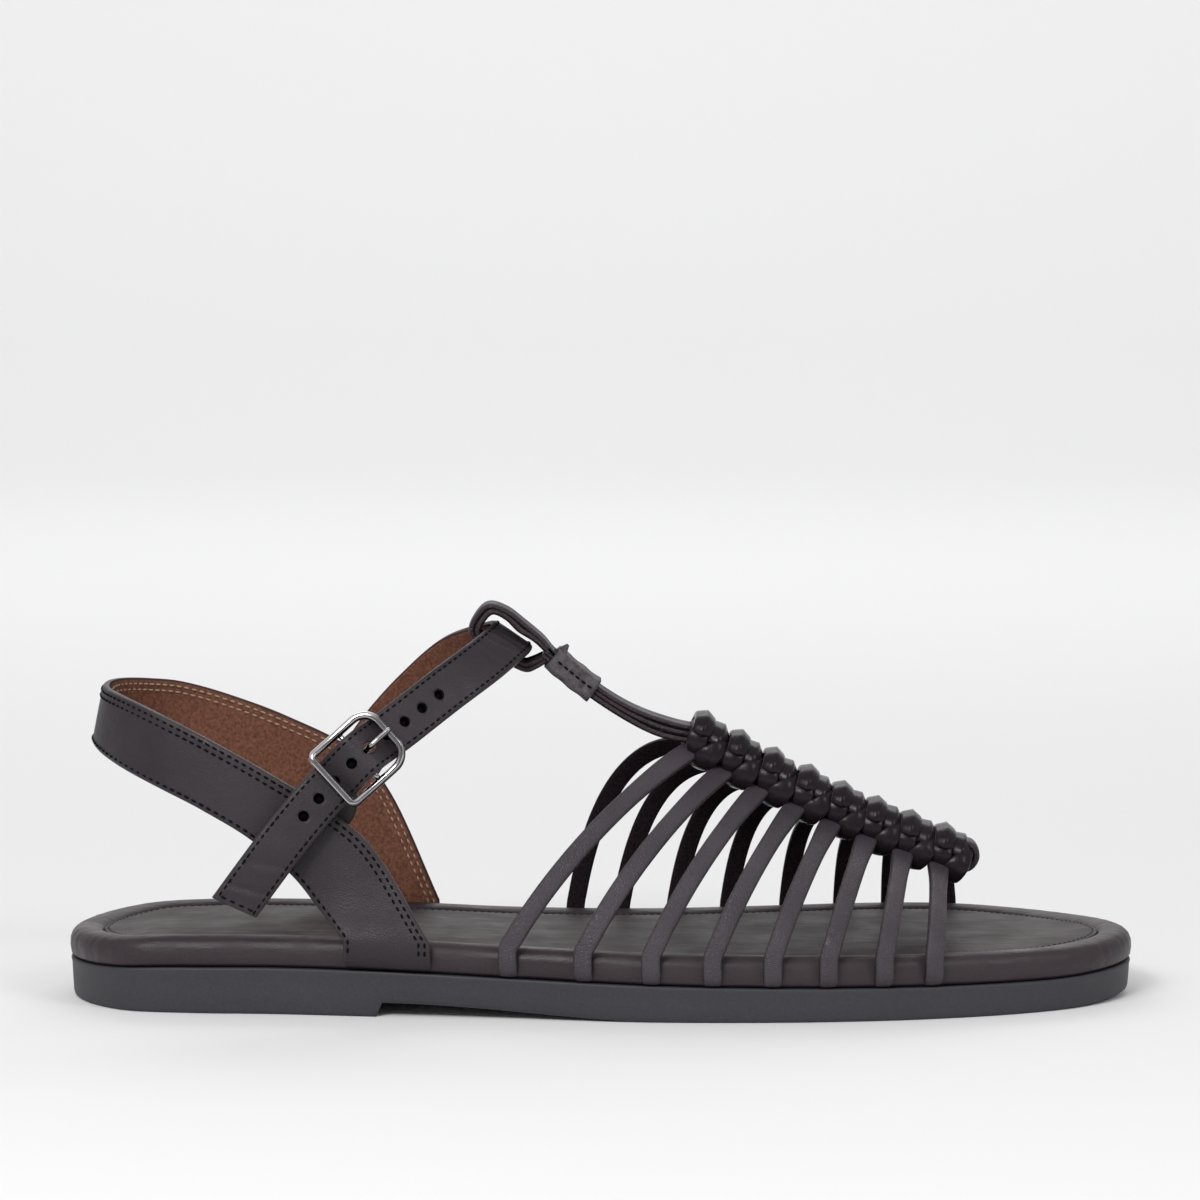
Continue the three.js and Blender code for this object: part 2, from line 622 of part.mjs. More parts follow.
// A place on the heel strap, from a row of its table
function heelEdge({ at, out, up }, side) {
  return v3(xOf(at), side * out * HEEL_WIDTH / 2, footbedTop(HEEL_STRAP_SEAT_AT) + up * HEEL_STRAP_RISE);
}

// The end of one leg of the heel strap, from its slot under the footbed up to the rim
function heelLegEnd(side) {
  const low = tuckStations(HEEL_LEG_BASE.low, side, STRAP_WALL, 1.6 * GAP);
  const high = tuckStations(HEEL_LEG_BASE.high, side, STRAP_WALL, 1.6 * GAP);
  return low.map((station, i) => ({
    ...pairStation([station.centre, high[i].centre]),
    out: station.out.clone().add(high[i].out).normalize(),
  }));
}

// The station of a strap between its low and high edge points
function pairStation([low, high]) {
  return {
    centre: low.clone().add(high).multiplyScalar(0.5),
    edge: high.clone().sub(low),
    width: low.distanceTo(high),
    wall: STRAP_WALL,
  };
}

// A smooth run of edge pairs between the given ones
function refinePairs(pairs, steps) {
  const lows = new THREE.CatmullRomCurve3(pairs.map((pair) => pair[0]), false, "centripetal");
  const highs = new THREE.CatmullRomCurve3(pairs.map((pair) => pair[1]), false, "centripetal");
  return Array.from({ length: steps + 1 }, (_, i) => [lows.getPoint(i / steps), highs.getPoint(i / steps)]);
}

function heelStrapGeometry() {
  const pairsOf = (rows, side) => rows.map(({ low, high }) => [heelEdge(low, side), heelEdge(high, side)]);
  const edgesOf = ({ centre, edge }) => (
    [-0.5, 0.5].map((share) => centre.clone().addScaledVector(edge, share)));
  const lateral = heelLegEnd(-1);
  const medial = heelLegEnd(1);
  const body = refinePairs([
    edgesOf(lateral[lateral.length - 1]),
    ...pairsOf(HEEL_STRAP_LATERAL, -1).reverse(),
    [heelEdge(HEEL_STRAP_BACK.low, 1), heelEdge(HEEL_STRAP_BACK.high, 1)],
    ...pairsOf(HEEL_STRAP_MEDIAL, 1),
    edgesOf(medial[medial.length - 1]),
  ], 2 * (HEEL_STRAP_LATERAL.length + HEEL_STRAP_MEDIAL.length + 2)).map(pairStation);
  const middle = v3(xOf(HEEL_LEG_BASE.low), 0, 0);
  const band = body.map((station, i) => {
    const before = body[Math.max(0, i - 1)].centre;
    const after = body[Math.min(body.length - 1, i + 1)].centre;
    const out = after.clone().sub(before).cross(station.edge).normalize();
    const away = station.centre.clone().sub(middle).setZ(0);
    return { ...station, out: out.dot(away) < 0 ? out.negate() : out };
  });
  const stations = [...lateral.slice(0, -1), ...band, ...medial.slice(0, -1).reverse()];
  return closedBody(stations.map((station) => stripSection({
    ...station,
    across: station.edge.clone().normalize(),
  })));
}

// Half the span of the ankle strap on each side. It is sewn flat on the heel strap on the inner side, and
// lies outside the heel strap with room for the buckle's tab on the other
const MEDIAL_SPAN = HEEL_STRAP_MEDIAL[6].low.out * HEEL_WIDTH / 2 + STRAP_WALL + GAP;
const LATERAL_SPAN = HEEL_STRAP_LATERAL[6].low.out * HEEL_WIDTH / 2 + STRAP_WALL + 2 * GAP + TAB_WALL;

// The middle line of the ankle strap, with the distance of each station past the strap's front
const ankleLine = (() => {
  const steps = 120;
  const axisAt = 0.29;
  const seat = footbedTop(HEEL_STRAP_SEAT_AT);
  const rows = ANKLE_STRAP.map(({ at, out, up, lean }) => {
    const centre = v3(xOf(at), -out * (out < 0 ? MEDIAL_SPAN : LATERAL_SPAN), seat + up * ANKLE_RISE);
    const away = v3(Math.max(0, centre.x - xOf(axisAt)), centre.y, 0).normalize();
    const tilt = THREE.MathUtils.degToRad(lean);
    return { centre, out: away.multiplyScalar(Math.cos(tilt)).add(v3(0, 0, Math.sin(tilt))) };
  });
  const line = squareUp(resample(rows, steps));
  line[0].distance = 0;
  for (let i = 1; i < line.length; i += 1) {
    line[i].distance = line[i - 1].distance + line[i].centre.distanceTo(line[i - 1].centre);
  }
  const front = line.find((station) => station.centre.y <= 0).distance;
  line.forEach((station) => { station.distance -= front; });
  return line;
})();

// A place on the ankle strap's middle line at a distance past its front, and its directions there
function anklePlace(distance) {
  let i = 0;
  while (i < ankleLine.length - 2 && ankleLine[i + 1].distance < distance) i += 1;
  const [from, to] = [ankleLine[i], ankleLine[i + 1]];
  const t = (distance - from.distance) / (to.distance - from.distance);
  const blend = (name) => from[name].clone().lerp(to[name], t);
  const along = blend("along").normalize();
  const out = blend("out").normalize();
  return { centre: blend("centre"), along, out, across: along.clone().cross(out).normalize() };
}

// Heights over the ankle strap's middle line, at the buckle
const FRAME_HEIGHT = STRAP_WALL / 2 + 2.2 * GAP + BUCKLE_BAR / 2;
const BAR_HEIGHT = FRAME_HEIGHT - BUCKLE_ARCH - 0.35 * BUCKLE_BAR;
const TAB_RADIUS = CENTRE_BAR / 2 + 1.7 * GAP + TAB_WALL / 2;
const STRAP_LIFT = BAR_HEIGHT + TAB_RADIUS + TAB_WALL / 2 + GAP + STRAP_WALL / 2;

// How far the strap is lifted where it passes over the buckle's centre bar
function strapLift(distance) {
  const reach = BUCKLE_LENGTH / 2 - 1.1 * BUCKLE_BAR / 2;
  const share = clamp01(Math.abs(distance - BUCKLE_DISTANCE) / reach);
  return STRAP_LIFT * (0.5 + 0.5 * Math.cos(Math.PI * share));
}

// A point in the buckle's own frame: along the strap to the tail, across it, and out from the foot
function bucklePoint(along, across, out) {
  const place = anklePlace(BUCKLE_DISTANCE);
  return place.centre.clone()
    .addScaledVector(place.along, along)
    .addScaledVector(place.across, across)
    .addScaledVector(place.out, out);
}

function ankleStrapGeometry() {
  const end = BUCKLE_DISTANCE + TAIL_LENGTH;
  const start = ankleLine[0].distance;
  const coarse = 5;
  const fine = 1.7;
  const distances = [start];
  while (distances[distances.length - 1] < end) {
    const last = distances[distances.length - 1];
    const nearBuckle = Math.abs(last - BUCKLE_DISTANCE) < BUCKLE_LENGTH / 2 + coarse;
    distances.push(last + (nearBuckle ? fine : coarse));
  }
  distances[distances.length - 1] = end;
  const stations = distances.map((distance) => {
    const { centre, out } = anklePlace(distance);
    return {
      centre: centre.addScaledVector(out, strapLift(distance)),
      out,
      width: ANKLE_STRAP_WIDTH,
      wall: STRAP_WALL,
    };
  });
  const holes = Array.from({ length: 2 * HOLES_EACH_WAY + 1 }, (_, i) => {
    const distance = BUCKLE_DISTANCE - PRONG_HOLE - (i - HOLES_EACH_WAY) * HOLE_PITCH;
    return holeGeometry(distance, i === HOLES_EACH_WAY ? 1.5 : 1);
  });
  return geometryOf(holes.reduce((left, hole) => left.subtract(solidOf(hole)), solidOf(strip(stations))));
}

// A punched hole, as a short tube of the hole's width across the strap's wall
function holeGeometry(distance, stretch) {
  const sides = 8;
  const { centre, along, out, across } = anklePlace(distance);
  centre.addScaledVector(out, strapLift(distance));
  const ring = (height) => Array.from({ length: sides }, (_, i) => {
    const turn = (2 * Math.PI * i) / sides;
    return centre.clone()
      .addScaledVector(out, height)
      .addScaledVector(along, (stretch * Math.cos(turn) * HOLE_WIDTH) / 2)
      .addScaledVector(across, (Math.sin(turn) * HOLE_WIDTH) / 2);
  });
  return closedBody([ring(-STRAP_WALL), ring(STRAP_WALL)]);
}

// A round bar along a path of centres, with out giving a direction square to each step
function roundBar(stations, loop = false) {
  const sections = squareUp(stations, loop).map(({ centre, across, out, radius }) => (
    Array.from({ length: ROUND_STEPS }, (_, i) => {
      const turn = (2 * Math.PI * (i + 0.5)) / ROUND_STEPS;
      return centre.clone()
        .addScaledVector(across, radius * Math.cos(turn))
        .addScaledVector(out, radius * Math.sin(turn));
    })));
  return closedBody(sections, { loop });
}

// The buckle's frame is a rounded rectangle, arched to follow the ankle, with a thinner bar across its middle
function buckleFrameGeometry() {
  const halfLength = (BUCKLE_LENGTH - BUCKLE_BAR) / 2;
  const halfWidth = (ANKLE_STRAP_WIDTH + BUCKLE_BAR) / 2 + BUCKLE_SIDE_ROOM;
  const { out } = anklePlace(BUCKLE_DISTANCE);
  const height = (s) => FRAME_HEIGHT - BUCKLE_ARCH * (1 - (s / halfLength) ** 2);
  const corner = (s, w, radius, from) => Array.from({ length: CORNER_STEPS + 1 }, (_, i) => {
    const turn = from + (i / CORNER_STEPS) * (Math.PI / 2);
    return [s + radius * Math.cos(turn), w + radius * Math.sin(turn)];
  });
  const tight = BUCKLE_FOOT_ROUND;
  const wide = BUCKLE_HEAD_ROUND;
  const outline = [
    ...corner(halfLength - tight, halfWidth - tight, tight, 0),
    [halfLength / 3, halfWidth],
    [-halfLength / 4, halfWidth],
    ...corner(-halfLength + wide, halfWidth - wide, wide, Math.PI / 2),
    ...corner(-halfLength + wide, -halfWidth + wide, wide, Math.PI),
    [-halfLength / 4, -halfWidth],
    [halfLength / 3, -halfWidth],
    ...corner(halfLength - tight, -halfWidth + tight, tight, 1.5 * Math.PI),
  ];
  const radius = BUCKLE_BAR / 2;
  const ring = outline.map(([s, w]) => ({ centre: bucklePoint(s, w, height(s)), out, radius }));
  const bar = [-halfWidth, halfWidth].map((w) => (
    { centre: bucklePoint(0, w, BAR_HEIGHT), out, radius: CENTRE_BAR / 2 }));
  return joined([roundBar(ring, true), roundBar(bar)]);
}

// Stations along the buckle's middle, from rows of a distance along the strap and a height over it
function buckleStations(rows) {
  const { across } = anklePlace(BUCKLE_DISTANCE);
  const centres = rows.map(([s, h]) => bucklePoint(s, 0, h));
  return centres.map((centre, i) => {
    const before = centres[Math.max(0, i - 1)];
    const after = centres[Math.min(centres.length - 1, i + 1)];
    return { centre, out: after.clone().sub(before).cross(across).normalize() };
  });
}

// The prong hooks round the centre bar, comes up through the strap and rests on the end of the frame
function prongGeometry() {
  const radius = CENTRE_BAR / 2 + GAP + PRONG_WIDTH / 2;
  const hook = [200, 235, 270, 305, 340, 15].map((degrees) => {
    const turn = THREE.MathUtils.degToRad(180 - degrees);
    return [radius * Math.cos(turn), BAR_HEIGHT + radius * Math.sin(turn)];
  });
  const tipHeight = FRAME_HEIGHT + BUCKLE_BAR / 2 + GAP + PRONG_WIDTH / 2;
  const rise = strapLift(BUCKLE_DISTANCE - PRONG_HOLE);
  const rows = [
    ...hook,
    [-PRONG_HOLE + 0.3 * PRONG_WIDTH, rise - 0.45 * STRAP_WALL],
    [-PRONG_HOLE - 0.4 * PRONG_WIDTH, rise + 0.6 * STRAP_WALL],
    [-PRONG_HOLE - 1.5 * PRONG_WIDTH, tipHeight + 0.4 * PRONG_WIDTH],
    [-BUCKLE_LENGTH / 2 + 2 * PRONG_WIDTH, tipHeight + 0.2 * PRONG_WIDTH],
    [-BUCKLE_LENGTH / 2 + 0.15 * PRONG_WIDTH, tipHeight],
  ];
  return roundBar(buckleStations(rows).map((row, i) => ({
    ...row,
    radius: (i === rows.length - 1 ? 0.6 : 1) * (PRONG_WIDTH / 2),
  })));
}

// The tab is folded round the centre bar on both sides of the prong and sewn inside the heel strap
function tabGeometry() {
  const around = [0, 45, 90, 135, 180, 225, 270, 315].map((degrees) => {
    const turn = THREE.MathUtils.degToRad(degrees);
    const tail = degrees < 60 || degrees > 300 ? 1.9 : 1;
    return bucklePoint(tail * TAB_RADIUS * Math.cos(turn), 0, BAR_HEIGHT + TAB_RADIUS * Math.sin(turn)
      - (tail > 1 ? 0.5 * TAB_RADIUS : 0));
  });
  const middle = bucklePoint(0, 0, BAR_HEIGHT);
  const fold = strip(around.map((centre) => ({
    centre, out: centre.clone().sub(middle), width: TAB_WIDTH, wall: TAB_WALL,
  })), { loop: true });
  const inside = HEEL_STRAP_LATERAL[6];
  const low = heelEdge(inside.low, -1);
  const high = heelEdge(inside.high, -1);
  const bury = (share) => {
    const point = low.clone().lerp(high, share);
    point.y += STRAP_WALL / 2 + 2.2 * GAP + TAB_WALL;
    return point;
  };
  const rows = [
    bucklePoint(1.6 * TAB_RADIUS, 0, BAR_HEIGHT - 0.9 * TAB_RADIUS),
    bucklePoint(3.4 * TAB_RADIUS, 0, BAR_HEIGHT - 1.9 * TAB_RADIUS),
    bury(1.12),
    bury(0.8),
    bury(0.5),
  ];
  const outward = v3(0, -1, 0);
  const tongue = strip(resample(rows.map((centre) => ({ centre, out: outward })), 5)
    .map((row) => ({ ...row, width: TAB_WIDTH, wall: 2 * TAB_WALL })));
  const slotHalf = PRONG_WIDTH / 2 + GAP;
  const slot = closedBody([-3 * TAB_RADIUS, 2.2 * TAB_RADIUS].map((s) => (
    [[-slotHalf, -3], [slotHalf, -3], [slotHalf, 3], [-slotHalf, 3]]
      .map(([w, h]) => bucklePoint(s, w, BAR_HEIGHT + h * TAB_RADIUS)))));
  return geometryOf(solidOf(fold).add(solidOf(tongue)).subtract(solidOf(slot)));
}

// manifold-3d joins and cuts closed bodies
const wasm = await Module();
wasm.setup();

function solidOf(geometry) {
  const bare = geometry.clone();
  bare.deleteAttribute("normal");
  bare.deleteAttribute("uv");
  const merged = mergeVertices(bare, 1e-4);
  return new wasm.Manifold(new wasm.Mesh({
    numProp: 3,
    vertProperties: new Float32Array(merged.attributes.position.array),
    triVerts: new Uint32Array(merged.index.array),
  }));
}

function geometryOf(solid) {
  const mesh = solid.getMesh();
  const geometry = new THREE.BufferGeometry();
  geometry.setAttribute("position", new THREE.BufferAttribute(mesh.vertProperties, 3));
  geometry.setIndex(new THREE.BufferAttribute(mesh.triVerts, 1));
  return geometry;
}

const joined = (geometries) => geometryOf(geometries.map(solidOf).reduce((all, one) => all.add(one)));

function vampGeometry() {
  const thongs = [-1, 1].flatMap((side) => THONG_BASES.map((_, index) => strip(thongStations(index, side))));
  const knots = Array.from({ length: KNOTS }, (_, index) => knotGeometries(index)).flat();
  return joined([...knots, ...thongs, toeLoopGeometry()]);
}

const leather = new THREE.MeshStandardMaterial({ color: 0x2b2226, roughness: 0.5, metalness: 0 });
const rubber = new THREE.MeshStandardMaterial({ color: 0x34373c, roughness: 0.8, metalness: 0 });
const footbedLeather = new THREE.MeshStandardMaterial({ color: 0x3b3134, roughness: 0.5, metalness: 0 });
const metal = new THREE.MeshStandardMaterial({ color: 0x8d8a86, roughness: 0.3, metalness: 1 });

const group = new THREE.Group();

function add(name, geometry, material) {
  const mesh = new THREE.Mesh(geometry, material.clone());
  mesh.name = name;
  group.add(mesh);
}

add("outsole", outsoleGeometry(), rubber);
add("footbed", footbedGeometry(), footbedLeather);
add("sock", sockGeometry(), footbedLeather);
add("vamp", vampGeometry(), leather);
add("heel_strap", heelStrapGeometry(), leather);
add("t_bar", joined([...bundleGeometries(), ...loopGeometries()]), leather);
add("t_bar_keeper", keeperGeometry(), leather);
add("ankle_strap", ankleStrapGeometry(), leather);
add("buckle_frame", buckleFrameGeometry(), metal);
add("buckle_prong", prongGeometry(), metal);
add("buckle_tab", tabGeometry(), leather);

export default group;
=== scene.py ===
"""Looks for a woven huarache sandal for the right foot. Lengths are in millimetres until a mesh is made."""
import math

import bmesh
import bpy
import numpy as np
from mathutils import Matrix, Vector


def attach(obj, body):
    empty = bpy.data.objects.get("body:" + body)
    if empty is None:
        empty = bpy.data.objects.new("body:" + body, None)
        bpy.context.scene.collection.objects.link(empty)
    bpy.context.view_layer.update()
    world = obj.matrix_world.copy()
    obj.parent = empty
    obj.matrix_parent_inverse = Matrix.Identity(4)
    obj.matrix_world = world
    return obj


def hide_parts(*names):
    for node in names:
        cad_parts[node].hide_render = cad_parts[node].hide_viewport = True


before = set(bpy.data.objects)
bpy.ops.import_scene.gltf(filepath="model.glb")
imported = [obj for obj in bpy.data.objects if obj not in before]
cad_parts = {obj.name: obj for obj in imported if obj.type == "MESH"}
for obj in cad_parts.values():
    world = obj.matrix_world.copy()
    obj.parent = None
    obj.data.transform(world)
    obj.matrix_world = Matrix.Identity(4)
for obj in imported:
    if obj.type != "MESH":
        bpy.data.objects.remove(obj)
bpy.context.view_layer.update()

MM = 0.001
# Steps taken along a curve for each of its points that is kept
FINE_STEPS = 12

# Sizes of the sole
SOLE_LENGTH = 250
HEEL_WIDTH = 63
WAIST_WIDTH = 65
BALL_WIDTH = 88
HEEL_HEIGHT = 10.8
FOREFOOT_HEIGHT = 7.6
WAIST_RISE = 3.2
TOE_SPRING = 1.2
BREAST_AT = 0.298
WAIST_END_AT = 0.56
FOOTBED_HEIGHT = 6.8
FOOTBED_SETBACK = 0.6
RIM_WIDTH = 7.6
SOLE_CORNER = 1.2
BREAST_STEP = 0.006

# Sizes of the straps
THONG_WIDTH = 4.4
THONG_WALL = 1.8
TUCK_DEPTH = 5
STRAP_WALL = 2.2
KNOTS = 8
KNOT_WIDTH = 13.6
KNOT_HEIGHT = 13.2
INSTEP_HEIGHT = 44.4
TOE_ROOM = 17.8
RIDGE_BACK_AT = 0.598
RIDGE_FRONT_AT = 0.828
RIDGE_SAG = 1.4
KNOT_BACK = 0.52
HEEL_STRAP_RISE = 55.8
ANKLE_RISE = 65.5
ANKLE_STRAP_WIDTH = 11
TAIL_LENGTH = 46
HOLE_WIDTH = 2.5
HOLE_PITCH = 5.3
HOLES_EACH_WAY = 4
KEEPER_LENGTH = 12.6
KEEPER_WALL = 0.9
KEEPER_END_ROOM = 2.2
T_BAR_OUT = 1.9
T_BAR_DROP = 2.8
LACE_LAYER = 0.46 * THONG_WALL
LOOP_WALL = 1.78 * THONG_WALL

# Sizes of the buckle
BUCKLE_DISTANCE = 57
BUCKLE_LENGTH = 18.9
BUCKLE_BAR = 1.7
BUCKLE_ARCH = 1.3
BUCKLE_SIDE_ROOM = 1
BUCKLE_FOOT_ROUND = 1.2
BUCKLE_HEAD_ROUND = 4.2
CENTRE_BAR = 1.3
PRONG_WIDTH = 1.3
PRONG_HOLE = 2.7
TAB_WIDTH = 8.6
TAB_WALL = 0.9
GAP = 0.3

# Sole outline: share of the length from the heel, half widths as shares of the named width, and that width
OUTLINE = [
    (0.00, 0.000, 0.000, HEEL_WIDTH), (0.05, 0.418, 0.418, HEEL_WIDTH), (0.12, 0.497, 0.497, HEEL_WIDTH),
    (0.20, 0.522, 0.490, HEEL_WIDTH), (0.30, 0.562, 0.440, WAIST_WIDTH), (0.42, 0.615, 0.415, WAIST_WIDTH),
    (0.54, 0.500, 0.348, BALL_WIDTH), (0.66, 0.505, 0.440, BALL_WIDTH), (0.76, 0.476, 0.512, BALL_WIDTH),
    (0.84, 0.420, 0.518, BALL_WIDTH), (0.91, 0.338, 0.432, BALL_WIDTH), (0.96, 0.238, 0.290, BALL_WIDTH),
    (1.00, 0.000, 0.000, BALL_WIDTH),
]
# Upper edge of the rubber: share of the length, share of the way from the forefoot's height to the heel's
RUBBER_TOP = [(0, 0.5), (0.1, 0.95), (0.28, 0.98), (0.42, 0.6), (0.56, 0.26), (0.72, 0.06), (1, -0.1)]
# Rubber wall: inset, share of the way from its bottom to its top, and what is added to that
RUBBER_WALL = [
    (SOLE_CORNER + 0.5, 0, 0), (1.2, 0, 0.1 * SOLE_CORNER), (0.8, 0, 0.4 * SOLE_CORNER),
    (0.6, 0, SOLE_CORNER), (0.4, 0.5, 0), (0.25, 1, -SOLE_CORNER), (0.05, 1, -0.5),
    (0.10, 1, -0.2), (0.35, 1, 0), (0.9, 1, 0),
]
# Footbed wall: inset as a share of the rim's width, height as a share of the footbed's height
RIM = [
    (0.30, 0.00), (0.08, 0.00), (0.00, 0.10), (-0.01, 0.35), (0.01, 0.60),
    (0.06, 0.77), (0.15, 0.90), (0.27, 0.975), (0.40, 1.00), (0.55, 0.995),
    (0.70, 0.965), (0.82, 0.91), (0.90, 0.84), (0.95, 0.76), (0.97, 0.66),
]
# Sock wall: inset from the sock's edge and height over the rim's inner foot
SOCK_WALL = [(0.0, 0.0), (-0.05, 0.6), (0.05, 1.05), (0.3, 1.32), (0.7, 1.46), (1.3, 1.5)]
# Gathers in the rim's cover: where they end at heel and toe, their depth and the rim's swell there
GATHERS_HEEL_END = 0.13
GATHERS_TOE_START = 0.885
GATHER_DEPTH = 0.10
RIM_SWELL = 0.75
# Threads: pitch, length of a stitch and thickness
SOCK_THREAD = (1.7, 1.15, 0.36)
KEEPER_THREAD = (1.7, 1.2, 0.55)
HEEL_THREAD = (1.95, 1.35, 0.55)
LINING_THREAD = (1.95, 1.45, 0.52)
ANKLE_THREAD = (1.8, 1.3, 0.5)
STITCH_TAPER = (0.45, 0.9, 1, 0.9, 0.45)
STITCH_SINK = 0.25
# Where each thong leaves the sole on the outer and on the inner side, as shares of the length
THONG_BASES = [
    (0.415, 0.476), (0.484, 0.520), (0.546, 0.573), (0.602, 0.625),
    (0.657, 0.683), (0.708, 0.736), (0.759, 0.783), (0.805, 0.838),
]
# How a thong arches, as shares of its run, reach and rise: low forward, low rise, high forward, out and drop
ARCH_OUTER = (0.27, 0.50, 0.28, 0.42, 0.12)
ARCH_INNER = (0.17, 0.70, 0.46, 0.68, 0.01)
# Heel strap: at, out and up of the low edge, then of the high edge
HEEL_STRAP_BACK = (0.026, 0, 0.750, 0.037, 0, 0.998)
HEEL_STRAP_OUTER = [
    (0.029, 0.24, 0.740, 0.040, 0.24, 0.992), (0.040, 0.45, 0.716, 0.051, 0.44, 0.982),
    (0.062, 0.66, 0.672, 0.073, 0.64, 0.952), (0.094, 0.83, 0.610, 0.103, 0.81, 0.898),
    (0.133, 0.94, 0.528, 0.145, 0.92, 0.808), (0.177, 0.99, 0.412, 0.199, 0.98, 0.675),
    (0.216, 1.02, 0.262, 0.257, 1.01, 0.512), (0.240, 1.05, 0.130, 0.296, 1.05, 0.345),
]
HEEL_STRAP_INNER = [
    (0.029, 0.24, 0.746, 0.040, 0.24, 0.998), (0.040, 0.45, 0.730, 0.051, 0.44, 0.992),
    (0.060, 0.66, 0.690, 0.071, 0.64, 0.976), (0.090, 0.82, 0.655, 0.099, 0.80, 0.952),
    (0.128, 0.91, 0.590, 0.142, 0.89, 0.892), (0.172, 0.95, 0.478, 0.200, 0.93, 0.790),
    (0.212, 0.95, 0.330, 0.262, 0.94, 0.645), (0.238, 0.94, 0.170, 0.300, 0.93, 0.440),
]
HEEL_LEG_BASE = (0.264, 0.344)
SEAT_AT = sum(HEEL_LEG_BASE) / 2
# Ankle strap: at, share of the half span, share of the rise, degrees by which its face leans up
ANKLE_STRAP = [
    (0.246, -1.00, 0.370, 0), (0.265, -1.00, 0.490, 2), (0.290, -0.97, 0.630, 8), (0.323, -0.86, 0.774, 20),
    (0.363, -0.62, 0.916, 38), (0.406, -0.26, 1.000, 53), (0.416, 0.00, 1.015, 56), (0.409, 0.23, 1.000, 53),
    (0.390, 0.44, 0.950, 44), (0.356, 0.66, 0.864, 30), (0.320, 0.82, 0.764, 18), (0.280, 0.93, 0.650, 9),
    (0.244, 1.00, 0.515, 4), (0.212, 1.04, 0.372, 2), (0.186, 1.05, 0.240, 0), (0.164, 1.05, 0.125, 0),
]
FRAME_HEIGHT = STRAP_WALL / 2 + 2.2 * GAP + BUCKLE_BAR / 2
BAR_HEIGHT = FRAME_HEIGHT - BUCKLE_ARCH - 0.35 * BUCKLE_BAR
TAB_RADIUS = CENTRE_BAR / 2 + 1.7 * GAP + TAB_WALL / 2
STRAP_LIFT = BAR_HEIGHT + TAB_RADIUS + TAB_WALL / 2 + GAP + STRAP_WALL / 2

UP = np.array([0.0, 0, 1])
SIDE = np.array([0.0, 1, 0])


# Vectors and curves

def vec(x, y, z):
    return np.array([x, y, z], float)


def unit(vectors):
    vectors = np.asarray(vectors, float)
    return vectors / np.maximum(np.linalg.norm(vectors, axis=-1, keepdims=True), 1e-9)


def mix(a, b, t):
    return a + (b - a) * t


def smooth(t):
    t = np.clip(t, 0, 1)
    return t * t * (3 - 2 * t)


def column(keys, values, x):
    """A smooth curve through the rows of a table."""
    keys = np.asarray(keys, float)
    values = np.asarray(values, float)
    slopes = np.empty_like(values)
    slopes[1:-1] = (values[2:] - values[:-2]) / (keys[2:] - keys[:-2])
    slopes[0] = (values[1] - values[0]) / (keys[1] - keys[0])
    slopes[-1] = (values[-1] - values[-2]) / (keys[-1] - keys[-2])
    x = np.asarray(x, float)
    i = np.clip(np.searchsorted(keys[1:], x), 0, len(keys) - 2)
    span = keys[i + 1] - keys[i]
    t = np.clip((x - keys[i]) / span, 0, 1)
    return ((2 * t**3 - 3 * t**2 + 1) * values[i] + (t**3 - 2 * t**2 + t) * span * slopes[i]
            + (3 * t**2 - 2 * t**3) * values[i + 1] + (t**3 - t**2) * span * slopes[i + 1])


def run_along(path):
    """Distances along a path from its first point."""
    return np.concatenate([[0], np.cumsum(np.linalg.norm(np.diff(path[:, :3], axis=0), axis=1))])


def follow(wanted, keys, rows):
    """Rows of numbers, read off at the wanted keys."""
    return np.stack([np.interp(wanted, keys, rows[:, k]) for k in range(rows.shape[1])], 1)


def curve_through(points, count, loop=False):
    """Even points along a smooth curve through rows of numbers, whose first three columns are a place."""
    points = np.asarray(points, float)
    if loop:
        points = np.concatenate([points[-2:], points, points[:3]])
    gaps = np.linalg.norm(np.diff(points[:, :3], axis=0), axis=1) ** 0.5
    keys = np.concatenate([[0], np.cumsum(np.maximum(gaps, 1e-6))])
    start, end = (keys[2], keys[-3]) if loop else (keys[0], keys[-1])
    fine = np.linspace(start, end, FINE_STEPS * count + 1)
    rows = np.stack([column(keys, points[:, k], fine) for k in range(points.shape[1])], 1)
    run = run_along(rows)
    rows = follow(np.linspace(0, run[-1], count + 1), run, rows)
    return rows[:-1] if loop else rows


def directions(centres, loop=False):
    if loop:
        return unit(np.roll(centres, -1, 0) - np.roll(centres, 1, 0))
    return unit(np.gradient(centres, axis=0))


def square_to(along, outs):
    """Ways out, turned until they stand square on the ways along."""
    return unit(outs - along * np.sum(along * outs, 1, keepdims=True))


# The sole's shape

TURN_KEYS = [math.acos(1 - 2 * row[0]) for row in OUTLINE]


def at_of(turn):
    return (1 - np.cos(turn)) / 2


def x_of(at):
    return (np.asarray(at, float) - 0.5) * SOLE_LENGTH


def outline(turn, side):
    """Points of the sole's outline and their outward normals on one side: -1 is the outer, 1 the inner."""
    turn = np.atleast_1d(np.asarray(turn, float))
    side = np.broadcast_to(side, turn.shape)
    step = 0.01

    def half(t):
        t = np.clip(t, 0, math.pi)
        outer = column(TURN_KEYS, [row[1] * row[3] for row in OUTLINE], t)
        inner = column(TURN_KEYS, [row[2] * row[3] for row in OUTLINE], t)
        return np.where(side < 0, outer, inner)

    along = SOLE_LENGTH * np.sin(turn) / 2
    across = (half(turn + step) - half(turn - step)) / (2 * step)
    normal = unit(np.stack([-across, side * along, 0 * turn], 1))
    normal = np.where((turn < step)[:, None], [-1, 0, 0], normal)
    normal = np.where((turn > math.pi - step)[:, None], [1, 0, 0], normal)
    return np.stack([x_of(at_of(turn)), side * half(turn), 0 * turn], 1), normal


def wall_point(at, side, clearance):
    point, normal = outline(math.acos(1 - 2 * at), side)
    return point[0] + normal[0] * (clearance - FOOTBED_SETBACK), normal[0]


